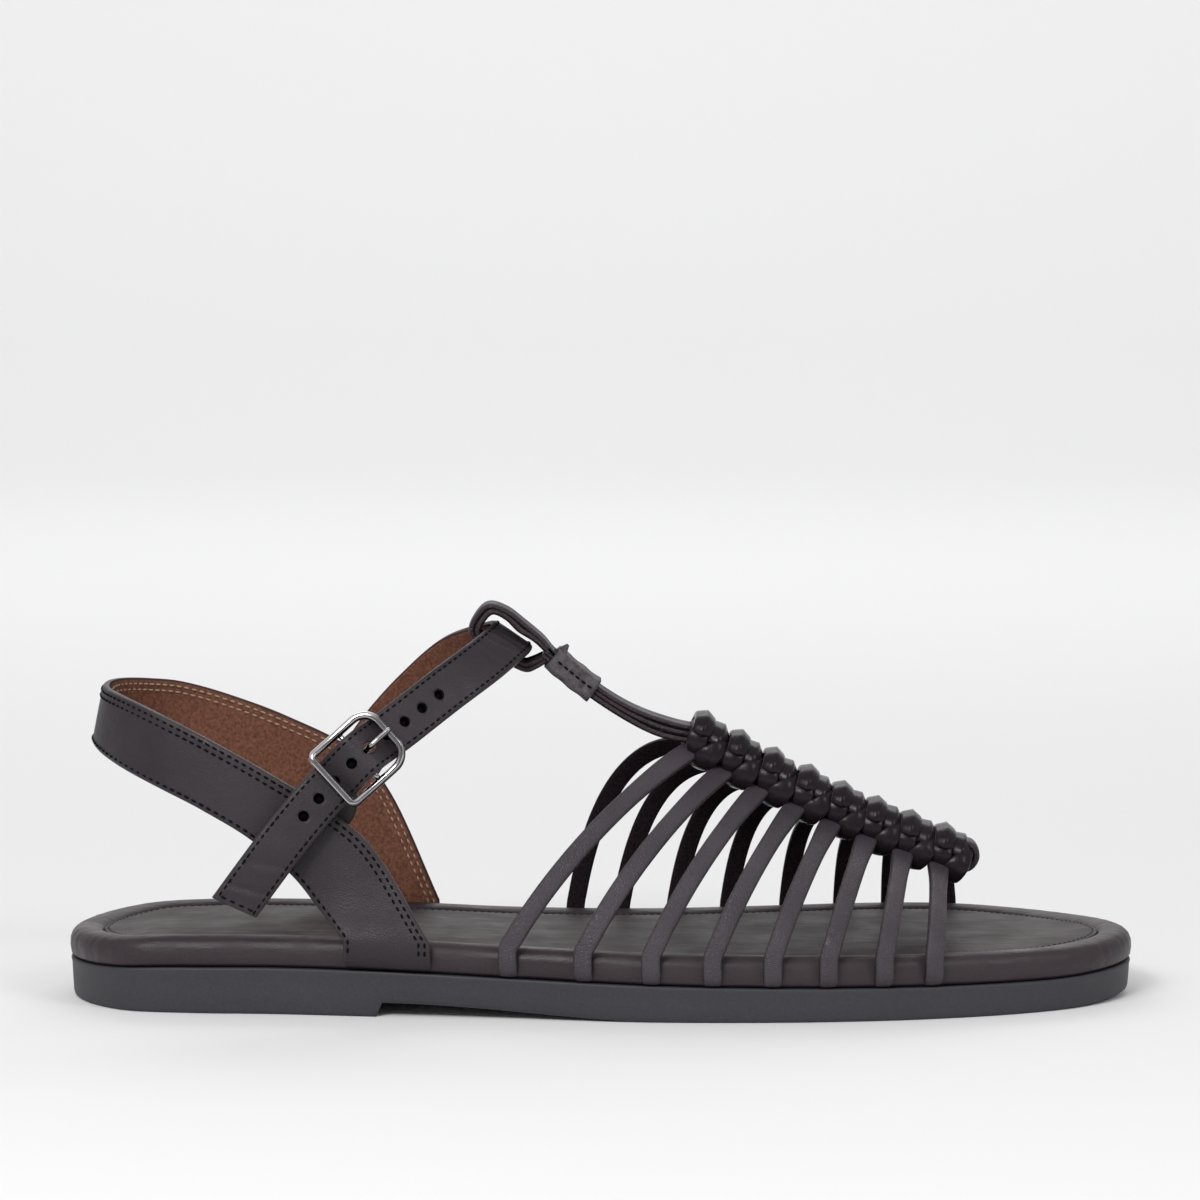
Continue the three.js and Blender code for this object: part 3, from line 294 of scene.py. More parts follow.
def toe_spring(at):
    return TOE_SPRING * np.clip((at - 0.9) / 0.1, 0, 1) ** 2


def rubber_top(at):
    at = np.asarray(at, float)
    share = column([row[0] for row in RUBBER_TOP], [row[1] for row in RUBBER_TOP], at)
    return mix(FOREFOOT_HEIGHT, HEEL_HEIGHT, share) + toe_spring(at)


def rubber_bottom(at):
    at = np.asarray(at, float)
    waist = WAIST_RISE * (1 - smooth((at - BREAST_AT) / (WAIST_END_AT - BREAST_AT)))
    return np.where(at <= BREAST_AT, 0, waist) + toe_spring(at)


def footbed_base(at):
    return rubber_top(at) + GAP


def footbed_top(at):
    return footbed_base(at) + FOOTBED_HEIGHT


# Meshes

def mesh_of(name, points, faces):
    """A mesh with its faces turned outward, from places in millimetres."""
    mesh = bpy.data.meshes.new(name)
    mesh.from_pydata((points * MM).tolist(), [], faces)
    work = bmesh.new()
    work.from_mesh(mesh)
    bmesh.ops.recalc_face_normals(work, faces=work.faces)
    work.to_mesh(mesh)
    work.free()
    mesh.update()
    return mesh


def add_object(name, data):
    made = bpy.data.objects.new(name, data)
    bpy.context.scene.collection.objects.link(made)
    return made


def make(name, part, look, cad_node=None):
    """Makes a piece from points, faces and marks. It rides on the body and can stand for a CAD node."""
    points, faces, marks = part
    mesh = mesh_of(name, points, faces)
    for key, values in marks.items():
        layer = mesh.attributes.new(key, "FLOAT", "POINT")
        layer.data.foreach_set("value", np.asarray(values, np.float32))
    mesh.polygons.foreach_set("use_smooth", [True] * len(mesh.polygons))
    mesh.materials.append(look)
    piece = add_object(name, mesh)
    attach(piece, "root")
    if cad_node:
        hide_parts(cad_node)
    return piece


def tube_faces(rings, count, loop):
    faces = []
    for r in range(rings if loop else rings - 1):
        after = (r + 1) % rings
        for i in range(count):
            j = (i + 1) % count
            faces.append((r * count + i, r * count + j, after * count + j, after * count + i))
    if not loop:
        faces.append(tuple(reversed(range(count))))
        faces.append(tuple(range((rings - 1) * count, rings * count)))
    return faces


def strap_section(round_share=0.42, corner_steps=3, flat_steps=4):
    """A strap's section, once round, as shares of its half width and wall and of its corners' radius."""
    rows = []
    for corner, (a, b) in enumerate([(1, 1), (-1, 1), (-1, -1), (1, -1)]):
        for k in range(corner_steps + 1):
            turn = math.pi / 2 * (corner + k / corner_steps)
            rows.append((a, b, math.cos(turn), math.sin(turn)))
        if corner in (0, 2):
            rows += [(a * (1 - 2 * k / flat_steps), b, 0, b) for k in range(1, flat_steps)]
    return np.array(rows), round_share


def strap(centres, outs, width, wall, loop=False, crown=0.0, section=None, across=None, peak=0.0):
    """Points, faces and marks of a strap along a path. Width and wall may change along it."""
    shape, round_share = section or strap_section()
    centres = np.asarray(centres, float)
    count = len(centres)
    width = np.broadcast_to(np.asarray(width, float), (count,))
    wall = np.broadcast_to(np.asarray(wall, float), (count,))
    along = directions(centres, loop)
    outs = np.asarray(outs, float)
    if across is None:
        outs = square_to(along, outs)
        across = np.cross(along, outs)
    radius = np.minimum(wall / 2, width / 2) * 2 * round_share
    a = shape[None, :, 0] * (width / 2 - radius)[:, None] + shape[None, :, 2] * radius[:, None]
    b = shape[None, :, 1] * (wall / 2 - radius)[:, None] + shape[None, :, 3] * radius[:, None]
    share = np.abs(a) / (width / 2)[:, None]
    b = b + np.where(b > 0, crown * (1 - share**2) + peak * (1 - share), 0) * wall[:, None]
    points = centres[:, None] + a[..., None] * across[:, None] + b[..., None] * outs[:, None]
    marks = {
        "edge": share.ravel(),
        "face": (b / (wall / 2)[:, None]).ravel(),
        "run": np.repeat(run_along(centres), shape.shape[0]),
        "over": a.ravel(),
    }
    return points.reshape(-1, 3), tube_faces(count, shape.shape[0], loop), marks


def together(parts):
    """Joins several (points, faces, marks) into one."""
    points, faces, marks, base = [], [], {}, 0
    for part_points, part_faces, part_marks in parts:
        points.append(part_points)
        faces += [tuple(i + base for i in face) for face in part_faces]
        for key, values in part_marks.items():
            marks.setdefault(key, []).append(values)
        base += len(part_points)
    return np.concatenate(points), faces, {key: np.concatenate(values) for key, values in marks.items()}


def bar(centres, outs, radius, loop=False, sides=14):
    """Points, faces and marks of a round bar along a path."""
    centres = np.asarray(centres, float)
    radius = np.broadcast_to(np.asarray(radius, float), (len(centres),))[:, None, None]
    along = directions(centres, loop)
    outs = square_to(along, outs)
    turn = (2 * np.pi * np.arange(sides) / sides)[None, :, None]
    across = np.cross(along, outs)
    points = centres[:, None] + radius * (np.cos(turn) * across[:, None] + np.sin(turn) * outs[:, None])
    marks = {"edge": np.zeros(len(centres) * sides)}
    return points.reshape(-1, 3), tube_faces(len(centres), sides, loop), marks


def stitches(path, outs, pitch, length, thick, lift=0.12):
    """Short threads in a row along a path, as a list of parts for together()."""
    run = run_along(path)
    total = run[-1]
    count = max(1, int(total / pitch))
    t = np.linspace(-0.5, 0.5, len(STITCH_TAPER))
    bow = 1 - (2 * t) ** 2
    rise = (lift * bow - STITCH_SINK * thick * (1 - bow))[:, None]
    parts = []
    for k in range(count):
        places = np.clip((k + 0.5) * total / count + t * length, 0, total)
        out = unit(follow(places, run, outs))
        centres = follow(places, run, path) + out * rise
        parts.append(bar(centres, out, thick / 2 * np.array(STITCH_TAPER), sides=6))
    return parts


def sew(name, rows, sizes, look, lift=0.12):
    """Makes one piece of the stitches along several lines, each with its ways out."""
    parts = [part for line, outs in rows for part in stitches(line, outs, *sizes, lift)]
    make(name, together(parts), look)


# Materials

def material(name):
    made = bpy.data.materials.new(name)
    made.use_nodes = True
    return made, made.node_tree, made.node_tree.nodes["Principled BSDF"]


def node(tree, kind, inputs=None, **settings):
    """A shader node. Its inputs are linked where a socket is given and set where a value is."""
    made = tree.nodes.new(kind)
    for key, value in settings.items():
        setattr(made, key, value)
    for key, value in (inputs or {}).items():
        if hasattr(value, "links"):
            tree.links.new(value, made.inputs[key])
        else:
            made.inputs[key].default_value = value
    return made


def ramp(tree, factor, stops):
    made = node(tree, "ShaderNodeValToRGB", {"Fac": factor})
    elements = made.color_ramp.elements
    while len(elements) < len(stops):
        elements.new(0.5)
    for element, (place, colour) in zip(elements, stops):
        element.position = place
        element.color = (*colour, 1)
    return made.outputs["Color"]


def grey_ramp(tree, factor, stops):
    return ramp(tree, factor, [(place, (value,) * 3) for place, value in stops])


def mark(tree, name):
    return node(tree, "ShaderNodeAttribute", attribute_name=name).outputs["Fac"]


def calc(tree, operation, a, b):
    return node(tree, "ShaderNodeMath", {0: a, 1: b}, operation=operation).outputs[0]


def opaque(colour):
    return colour if hasattr(colour, "links") else (*colour, 1)


def blend(tree, factor, a, b, kind="MIX"):
    return node(tree, "ShaderNodeMix", {0: factor, 6: opaque(a), 7: opaque(b)},
                data_type="RGBA", blend_type=kind).outputs[2]


def place_of(tree):
    return node(tree, "ShaderNodeTexCoord").outputs["Object"]


def noise(tree, vector, scale, detail=4.0):
    return node(tree, "ShaderNodeTexNoise", {
        "Vector": vector, "Scale": scale, "Detail": detail, "Roughness": 0.55}).outputs["Fac"]


def pores(tree, vector, scale):
    return node(tree, "ShaderNodeTexVoronoi", {"Vector": vector, "Scale": scale},
                feature="DISTANCE_TO_EDGE").outputs["Distance"]


def mottled(tree, place, colour, worn, cloud, speckle, share):
    """A colour that turns to its worn tint in clouds and, by a share, in fine speckles."""
    base = ramp(tree, noise(tree, place, *cloud), [(0.3, colour), (0.75, worn)])
    return blend(tree, share, base, ramp(tree, noise(tree, place, speckle, 3), [(0.3, colour), (0.8, worn)]))


def drifting(tree, shader, factor, low, high, end=0.75):
    """Roughness that drifts between two values."""
    tree.links.new(grey_ramp(tree, factor, [(0.3, low), (end, high)]), shader.inputs["Roughness"])


def bump(tree, shader, layers):
    """Stacks bump layers, each a height, a strength and a distance in metres."""
    normal = None
    for height, strength, distance in layers:
        inputs = {"Height": height, "Strength": strength, "Distance": distance}
        if normal is not None:
            inputs["Normal"] = normal
        normal = node(tree, "ShaderNodeBump", inputs).outputs["Normal"]
    tree.links.new(normal, shader.inputs["Normal"])


def leather(name, colour, worn, rough=(0.38, 0.62), grain=0.35, edge_colour=None, under=None, gloss=0.38,
            mottle=55):
    """Fine-grained leather: mottled, paler where worn, with its own colour on the cut edges and its
    underside; on the knots' caps the pale edge colour is a painted highlight.
    """
    made, tree, shader = material(name)
    place = place_of(tree)
    base = mottled(tree, place, colour, worn, (mottle, 3), 1400, 0.25)
    if under:
        side = calc(tree, "LESS_THAN", mark(tree, "face"), -0.25)
        nap = ramp(tree, noise(tree, place, 1300), [(0.35, [0.55 * v for v in under]), (0.65, under)])
        base = blend(tree, side, base, nap)
        tree.links.new(calc(tree, "MULTIPLY", calc(tree, "SUBTRACT", 1.0, side), gloss),
                       shader.inputs["Specular IOR Level"])
    else:
        shader.inputs["Specular IOR Level"].default_value = gloss
    if edge_colour:
        cut = grey_ramp(tree, mark(tree, "edge"), [(0.0, 0), (0.93, 0), (0.985, 1), (1.0, 1)])
        base = blend(tree, cut, base, edge_colour)
    tree.links.new(base, shader.inputs["Base Color"])
    drifting(tree, shader, noise(tree, place, 120, 3), *rough)
    bump(tree, shader, [
        (pores(tree, place, 1500), grain, 0.0003),
        (noise(tree, place, 260), 0.35, 0.00025),
        (noise(tree, place, 70, 3), 0.30, 0.0006),
    ])
    return made


def thread(name, colour, gloss=0.4):
    made, tree, shader = material(name)
    twist = node(tree, "ShaderNodeTexWave", {
        "Vector": place_of(tree), "Scale": 900.0, "Distortion": 1.0}).outputs["Fac"]
    shade = [0.6 * value for value in colour]
    tree.links.new(ramp(tree, twist, [(0, shade), (1, colour)]), shader.inputs["Base Color"])
    shader.inputs["Roughness"].default_value = 0.6
    shader.inputs["Specular IOR Level"].default_value = gloss
    bump(tree, shader, [(twist, 0.4, 0.0001)])
    return made


def metal():
    made, tree, shader = material("polished_nickel")
    place = place_of(tree)
    # The base colour runs in dark and bright bands by which way the surface faces: painted reflections of a
    # lit studio on the polished metal.
    normal = node(tree, "ShaderNodeNewGeometry").outputs["Normal"]
    reflection_facing = node(tree, "ShaderNodeVectorMath", {0: normal, 1: (-0.35, -0.55, 0.76)},
                  operation="DOT_PRODUCT")
    painted_reflection_bands = grey_ramp(tree, reflection_facing.outputs["Value"], [
        (0.0, 0.10), (0.25, 0.16), (0.42, 0.62), (0.55, 0.10), (0.72, 0.30), (0.86, 0.95), (1.0, 0.80)])
    tree.links.new(blend(tree, 1.0, painted_reflection_bands, (1.0, 0.965, 0.985), "MULTIPLY"), shader.inputs["Base Color"])
    shader.inputs["Metallic"].default_value = 1.0
    drifting(tree, shader, noise(tree, place, 700, 3), 0.12, 0.24, 0.8)
    bump(tree, shader, [(noise(tree, place, 300), 0.04, 0.0002)])
    return made


def rubber():
    made, tree, shader = material("slate_rubber")
    place = place_of(tree)
    cloud = noise(tree, place, 30)
    fine = noise(tree, place, 1600, 3)
    base = ramp(tree, cloud, [(0.3, (0.025, 0.0235, 0.030)), (0.75, (0.037, 0.035, 0.043))])
    dust = ramp(tree, fine, [(0.35, (0.022, 0.021, 0.026)), (0.75, (0.050, 0.047, 0.056))])
    tree.links.new(blend(tree, 0.3, base, dust), shader.inputs["Base Color"])
    drifting(tree, shader, cloud, 0.52, 0.68)
    bump(tree, shader, [(fine, 0.25, 0.0001), (noise(tree, place, 140, 3), 0.2, 0.0004)])
    return made


def footbed_leather(name, colour, worn, sheen=0.34):
    made, tree, shader = material(name)
    place = place_of(tree)
    base = mottled(tree, place, colour, worn, (28, 4), 1200, 0.3)
    tree.links.new(base, shader.inputs["Base Color"])
    drifting(tree, shader, noise(tree, place, 90, 3), sheen, sheen + 0.2)
    shader.inputs["Specular IOR Level"].default_value = 0.26
    long_way = node(tree, "ShaderNodeMapping", {"Vector": place, "Scale": (60, 260, 260)}).outputs["Vector"]
    bump(tree, shader, [
        (pores(tree, place, 1300), 0.3, 0.00012),
        (noise(tree, long_way, 1.0), 0.5, 0.0007),
        (noise(tree, place, 60, 3), 0.3, 0.0008),
    ])
    return made


strap_leather = leather("strap_leather", (0.016, 0.0105, 0.014), (0.027, 0.0195, 0.024),
                        edge_colour=(0.010, 0.006, 0.008), under=(0.017, 0.011, 0.013))
thong_leather = leather("thong_leather", (0.036, 0.028, 0.035), (0.060, 0.049, 0.060),
                        rough=(0.40, 0.60), grain=0.9, edge_colour=(0.018, 0.010, 0.013),
                        under=(0.028, 0.020, 0.024))
# The knot leather's pale edge colour paints the highlight along the edges of the knots' caps.
knot_leather = leather("knot_leather", (0.009, 0.006, 0.008), (0.018, 0.012, 0.016),
                       rough=(0.20, 0.34), grain=0.1, edge_colour=(0.070, 0.056, 0.062), gloss=0.16)
lined_leather = leather("lined_leather", (0.016, 0.011, 0.0145), (0.029, 0.0215, 0.027),
                        edge_colour=(0.042, 0.030, 0.031), under=(0.205, 0.090, 0.060))
keeper_leather = leather("keeper_leather", (0.022, 0.018, 0.021), (0.125, 0.108, 0.118),
                         rough=(0.5, 0.7), grain=0.8, edge_colour=(0.12, 0.105, 0.11), mottle=520)
rim_leather = footbed_leather("rim_leather", (0.027, 0.019, 0.023), (0.043, 0.032, 0.037))
sock_leather = footbed_leather("sock_leather", (0.033, 0.023, 0.024), (0.049, 0.038, 0.039), 0.5)
black_thread = thread("black_thread", (0.004, 0.003, 0.004), 0.08)
tan_thread = thread("tan_thread", (0.42, 0.29, 0.20))
nickel = metal()
slate_rubber = rubber()


# The sole

SOLE_STEPS = 220


def sole_walk():
    """Turns and sides once round the sole, with two close stations at the breast, and a side's count."""
    turns = np.linspace(0, np.pi, SOLE_STEPS + 1)
    breast = math.acos(1 - 2 * BREAST_AT)
    turns = turns[np.abs(turns - breast) > 0.5 * np.pi / SOLE_STEPS]
    turns = np.sort(np.concatenate([turns, [breast, breast + BREAST_STEP]]))
    outer = np.stack([turns, -np.ones(len(turns))], 1)
    inner = np.stack([turns, np.ones(len(turns))], 1)[1:-1][::-1]
    return np.concatenate([outer, inner]), len(turns)


def platform(layers, bottom, top, ripple=None):
    """A body with the sole's outline. A layer is an inset, a share of the way up and what is added."""
    walk, stations = sole_walk()
    point, normal = outline(walk[:, 0], walk[:, 1])
    at = at_of(walk[:, 0])
    rings = []
    for index, (inset, share, more) in enumerate(layers):
        moved = inset + (ripple(at, walk[:, 1], index) if ripple else 0 * at)
        ring = point - normal * moved[:, None]
        ring[:, 2] = mix(bottom(at), top(at), share) + more
        rings.append(ring)
    count = len(walk)
    faces = tube_faces(len(layers), count, False)[:-2]
    base = (len(layers) - 1) * count
    for i in range(stations - 1):
        far, further = (count - i) % count, (count - i - 1) % count
        for start in (0, base):
            corners = list(dict.fromkeys([start + i, start + i + 1, start + further, start + far]))
            if len(corners) > 2:
                faces.append(tuple(reversed(corners)) if start else tuple(corners))
    return np.concatenate(rings), faces, {}


make("sole_unit", platform(RUBBER_WALL, rubber_bottom, rubber_top), slate_rubber, "outsole")


def gathers(at, side, index):
    """Soft gathers in the rim's cover, where it is drawn round the heel and the toe."""
    near_end = smooth((GATHERS_HEEL_END - at) / 0.09) + smooth((at - GATHERS_TOE_START) / 0.07)
    turn = np.arccos(1 - 2 * np.clip(at, 0, 1))
    wave = np.sin(turn * 118 + side * 0.7) * np.sin(turn * 23) + np.sin(turn * 71 + side * 2.1) * 0.5
    level = math.exp(-((index - 6.5) / 4.2) ** 2)
    swell = math.exp(-((index - 4) / 3.2) ** 2)
    return near_end * (GATHER_DEPTH * wave * level - RIM_SWELL * swell)


rim_layers = [(FOOTBED_SETBACK + inset * RIM_WIDTH, share, 0) for inset, share in RIM]
make("footbed_cover", platform(rim_layers, footbed_base, footbed_top, gathers), rim_leather,
     "footbed")

sock_edge = FOOTBED_SETBACK + 0.955 * RIM_WIDTH
sock_floor = RIM[-1][1] * FOOTBED_HEIGHT
sock_layers = [(sock_edge + inset, 0, sock_floor + height) for inset, height in SOCK_WALL]
make("sock_panel", platform(sock_layers, footbed_base, footbed_top), sock_leather, "sock")


def sock_line(inset, height):
    """A closed line on the sock at an inset from its edge, and the ways up from it."""
    walk, _ = sole_walk()
    point, normal = outline(walk[:, 0], walk[:, 1])
    line = point - normal * (sock_edge + inset)
    line[:, 2] = footbed_base(at_of(walk[:, 0])) + sock_floor + height
    return line, np.tile(UP, (len(line), 1))


seam, ups = sock_line(1.0, 1.44)
seam, ups = (np.concatenate([rows, rows[:1]]) for rows in (seam, ups))
sew("sock_stitches", [(seam, ups)], SOCK_THREAD, black_thread, 0.03)
# A thin raised edge round the sock, in the paler keeper leather: its paleness paints the highlight of light
# caught along the sock's edge.
make("sock_turned_edge_painted_highlight", bar(*sock_line(0.28, 1.24), 0.2, loop=True, sides=8), keeper_leather)


# The vamp

def ridge_point(u):
    at = mix(RIDGE_BACK_AT, RIDGE_FRONT_AT, u)
    height = mix(INSTEP_HEIGHT, TOE_ROOM, u) - 4 * RIDGE_SAG * u * (1 - u)
    return vec(x_of(at), 0, footbed_top(RIDGE_BACK_AT) + height)


def ridge_frame(u):
    along = unit(ridge_point(u + 0.02) - ridge_point(u - 0.02))
    return ridge_point(u), along, np.cross(along, SIDE)


PITCH = float(np.linalg.norm(ridge_point(0) - ridge_point(1))) / (KNOTS - 1)


def tuck(at, side, wall, clearance=GAP):
    """Where a strap lies under the footbed, turns up and rises past the rim: centres and outward vectors."""
    turn = 1.2 * wall
    low = footbed_base(at) + wall / 2
    on_wall, normal = wall_point(at, side, clearance + wall / 2)
    bend = turn * (1 - math.sqrt(0.5))
    rows = [
        (TUCK_DEPTH, 0, -UP), (turn, 0, -UP), (bend, bend, unit(normal - UP)), (0, turn, normal),
        (0, FOOTBED_HEIGHT - wall / 2, normal),
    ]
    centres = np.array([[*(on_wall - normal * inward)[:2], low + rise] for inward, rise, _ in rows])
    return centres, np.array([out for _, _, out in rows])


def thong(index, side):
    centres, outs = tuck(THONG_BASES[index][0 if side < 0 else 1], side, THONG_WALL)
    knot, along, up = ridge_frame(index / (KNOTS - 1))
    start = centres[-1]
    end = knot - 0.2 * PITCH * along - 0.22 * KNOT_HEIGHT * up
    end[1] = side * 0.3 * KNOT_WIDTH
    run = end - start
    low_forward, low_rise, high_forward, high_out, high_drop = ARCH_OUTER if side < 0 else ARCH_INNER
    low = start + run * [low_forward, 0, low_rise]
    high = end - run * [high_forward, high_out, high_drop]
    t = np.linspace(0, 1, 26)[1:, None]
    arc = (1 - t) ** 3 * start + 3 * (1 - t) ** 2 * t * low + 3 * (1 - t) * t**2 * high + t**3 * end
    arc_outs = outs[-1] * (1 - 0.5 * t) + 0.42 * UP * t**2
    rows = np.concatenate([np.concatenate([centres, arc]), np.concatenate([outs, unit(arc_outs)])], 1)
    rows = curve_through(rows, 60)
    widths = THONG_WIDTH * (1 + 0.22 * smooth(np.linspace(-2, 1, len(rows))))
    return strap(rows[:, :3], rows[:, 3:], widths, THONG_WALL, crown=0.07)


for side, word in ((-1, "outer"), (1, "inner")):
    make(f"thongs_{word}", together([thong(index, side) for index in range(KNOTS)]), thong_leather)


def knot_places(u, rows):
    """Turns rows of (along, side, up, out along, out side, out up) into places about a knot."""
    centre, along, up = ridge_frame(u)
    basis = np.array([along, SIDE, up])
    rows = np.asarray(rows, float)
    sizes = [PITCH, KNOT_WIDTH / 2, KNOT_HEIGHT / 2]
    return centre + (rows[:, :3] * sizes) @ basis, unit(rows[:, 3:6]) @ basis


# Folds of lace in a knot, near side: place as shares of pitch, half width and half height, the way it faces,
# and its width as a share of the pitch
BACK_CAP = [
    (-0.22, -0.90, 0.20, 0, -1, 0.2, 0.52), (-0.24, -0.88, 0.40, 0, -1, 0.4, 0.54),
    (-0.26, -0.60, 0.62, -0.1, -0.4, 0.9, 0.56), (-0.27, 0.0, 0.70, -0.1, 0, 1, 0.56),
    (-0.26, 0.60, 0.62, -0.1, 0.4, 0.9, 0.56), (-0.25, 0.86, 0.40, 0, 1, 0.4, 0.54),
    (-0.25, 0.88, 0.20, 0, 1, 0.2, 0.52),
]
BACK_PETAL = [
    (-0.27, -0.66, 0.42, 0, -0.8, 0.8, 0.46), (-0.26, -0.90, 0.22, -0.1, -1, 0.4, 0.52),
    (-0.24, -1.00, -0.02, -0.1, -1, 0, 0.54), (-0.17, -0.96, -0.26, 0, -1, -0.3, 0.46),
    (-0.08, -0.76, -0.52, 0.1, -0.8, -0.6, 0.34), (0.0, -0.36, -0.70, 0, -0.3, -1, 0.26),
]
FRONT_CAP = [
    (0.24, -0.86, 0.12, 0.2, -1, 0.2, 0.46), (0.22, -0.80, 0.34, 0.2, -0.9, 0.5, 0.50),
    (0.20, -0.50, 0.52, 0.3, -0.3, 0.9, 0.52), (0.20, 0.0, 0.58, 0.3, 0, 1, 0.52),
    (0.20, 0.50, 0.52, 0.3, 0.3, 0.9, 0.52), (0.21, 0.80, 0.34, 0.2, 0.9, 0.5, 0.50),
    (0.22, 0.86, 0.12, 0.2, 1, 0.2, 0.46),
]
FRONT_PETAL = [
    (0.42, -0.66, 0.34, 0.3, -0.8, 0.5, 0.26), (0.37, -0.92, 0.16, 0.2, -1, 0.3, 0.40),
    (0.29, -1.06, -0.10, -0.1, -1, 0, 0.54), (0.21, -1.05, -0.38, -0.1, -1, -0.2, 0.60),
    (0.14, -0.86, -0.66, 0, -0.8, -0.6, 0.58), (0.08, -0.42, -0.80, 0, -0.3, -1, 0.52),
]


def fold(u, rows, wall, side=-1, cap=False):
    """One fold of lace. Caps run across the ridge with a peaked back, petals down a side."""
    rows = np.array(rows, float)
    rows[:, 1] *= -side
    rows[:, 4] *= -side
    places, outs = knot_places(u, rows)
    path = curve_through(np.concatenate([places, outs, rows[:, 6:7]], 1), 26)
    crown, peak = (0, 0.85) if cap else (0.16, 0.12)
    points, faces, marks = strap(path[:, :3], path[:, 3:6], path[:, 6] * PITCH, wall, crown=crown, peak=peak,
                                 section=strap_section(0.26, 2, 6))
    # Petals keep out of the pale edge band, so the painted edge highlight falls only on the caps.
    if not cap:
        marks["edge"] = 0.93 * marks["edge"]
    return points, faces, marks


def knot_core(u):
    """The dark middle of a knot, behind its folds."""
    sides = 20
    turn = (2 * np.pi * np.arange(sides) / sides)[:, None]
    centre, along, up = ridge_frame(u)
    ring = np.cos(turn) * SIDE * KNOT_WIDTH / 2 * 0.92 + np.sin(turn) * up * KNOT_HEIGHT / 2 * 0.84
    stations = ((-0.52, 0.55), (-0.42, 0.80), (-0.2, 0.86), (0.1, 0.86), (0.36, 0.80), (0.48, 0.55))
    points = np.concatenate([centre + along * share * PITCH + size * ring for share, size in stations])
    marks = {"edge": np.zeros(len(points)), "face": np.ones(len(points))}
    return points, tube_faces(len(stations), sides, False), marks


wobble = np.random.default_rng(7)
folds = []
cores = []
for index in range(KNOTS):
    u = index / (KNOTS - 1)
    cores.append(knot_core(u))
    for side in (-1, 1):
        for rows, wall in ((BACK_PETAL, 1.5), (FRONT_PETAL, 1.6)):
            moved = np.array(rows, float)
            moved[:, :3] += wobble.normal(0, 0.012, (len(rows), 3))
            folds.append(fold(u, moved, wall, side))
    for rows, wall in ((BACK_CAP, 1.5), (FRONT_CAP, 1.4)):
        moved = np.array(rows, float)
        moved[:, 0] += wobble.normal(0, 0.01)
        moved[:, 2] += wobble.normal(0, 0.02)
        folds.append(fold(u, moved, wall, cap=True))
make("knot_folds", together(folds), knot_leather, "vamp")
make("knot_cores", together(cores), strap_leather)

# The loop at the toe: places ahead of and above the last knot, as shares of the pitch and the knot's height
LAST_LOOP = [(0.25, 0.26), (0.50, 0.27), (0.66, 0.11), (0.60, -0.08), (0.36, -0.18)]
centre, along, up = ridge_frame(1)
places = np.array([centre + along * a * PITCH + up * b * KNOT_HEIGHT for a, b in LAST_LOOP])
middle = centre + along * 0.3 * PITCH
path = curve_through(places, 24)
make("toe_loop", strap(path, path - middle, 2 * THONG_WIDTH, THONG_WALL, crown=0.1), thong_leather)


# The T-bar

def front_place(down, out):
    """A place about the front of the ankle strap, in the sandal's middle plane."""
    at, _, up_share, lean = next(row for row in ANKLE_STRAP if row[1] == 0)
    tilt = math.radians(lean)
    seat = vec(x_of(at), 0, footbed_top(SEAT_AT) + up_share * ANKLE_RISE)
    sine, cosine = math.sin(tilt), math.cos(tilt)
    return seat + vec(sine, 0, -cosine) * down + vec(cosine, 0, sine) * out


def bundle_curve():
    """The T-bar's middle line from the first knot to the loop, with even steps."""
    knot, along, _ = ridge_frame(0)
    foot = knot - along * (KNOT_BACK * PITCH - 0.8)
    top = front_place(ANKLE_STRAP_WIDTH / 2 + T_BAR_DROP, T_BAR_OUT)
    bend = vec(mix(top[0], foot[0], 0.57), 0, mix(foot[2], top[2], 0.08))
    t = np.linspace(0, 1, 80)[:, None]
    return curve_through((1 - t) ** 2 * foot + 2 * (1 - t) * t * bend + t**2 * top, 200)


BUNDLE = bundle_curve()
BUNDLE_LENGTH = float(run_along(BUNDLE)[-1])


def bundle(u):
    """Places at shares of the T-bar's length, from the first knot to the loop, and the ways out from it."""
    share = np.linspace(0, 1, len(BUNDLE))
    centres, tangent = (follow(np.atleast_1d(u), share, rows) for rows in (BUNDLE, directions(BUNDLE)))
    return centres, np.stack([tangent[:, 2], 0 * tangent[:, 0], -tangent[:, 0]], 1)


def lace_pair(centres, outs, wall):
    return [strap(centres + SIDE * share * THONG_WIDTH, outs, THONG_WIDTH * 0.97, wall, crown=0.08,
                  section=strap_section(0.3))
            for share in (-0.5, 0.5)]


u = np.linspace(0, 1, 50)
centres, outs = bundle(u)
laces = []
spread_low = smooth((0.62 - u) / 0.5)[:, None]
for layer, wall in ((-1.45, 1.35), (0.05, 1.25), (1.45, 1.35)):
    fan = layer * mix(0.74, 1.0 + 0.10 * np.sin(9 * u)[:, None], spread_low)
    laces += lace_pair(centres + outs * fan, outs, wall * 0.92)
# The loop's route round the ankle strap: down from its middle line and out from it
clear = STRAP_WALL / 2 + GAP + LOOP_WALL / 2
half = ANKLE_STRAP_WIDTH / 2
LOOP = [
    (half + 1.6 * T_BAR_DROP, T_BAR_OUT + 0.6 * LACE_LAYER), (half + T_BAR_DROP, T_BAR_OUT + LACE_LAYER),
    (half, 1.12 * clear), (0.1 * half, 1.2 * clear), (-0.75 * half, 1.36 * clear),
    (-half - 0.75 * LOOP_WALL, 1.02 * clear), (-half - LOOP_WALL, -0.1 * clear),
    (-half - 0.7 * LOOP_WALL, -1.2 * clear), (-0.5 * half, -1.4 * clear), (0.5 * half, -1.36 * clear),
    (half + 0.3 * T_BAR_DROP, -1.2 * clear), (half + 0.8 * T_BAR_DROP, -0.65 * clear),
    (half + 1.3 * T_BAR_DROP, T_BAR_OUT - 1.6 * LACE_LAYER),
]
path = curve_through([front_place(down, out) for down, out in LOOP], 80)
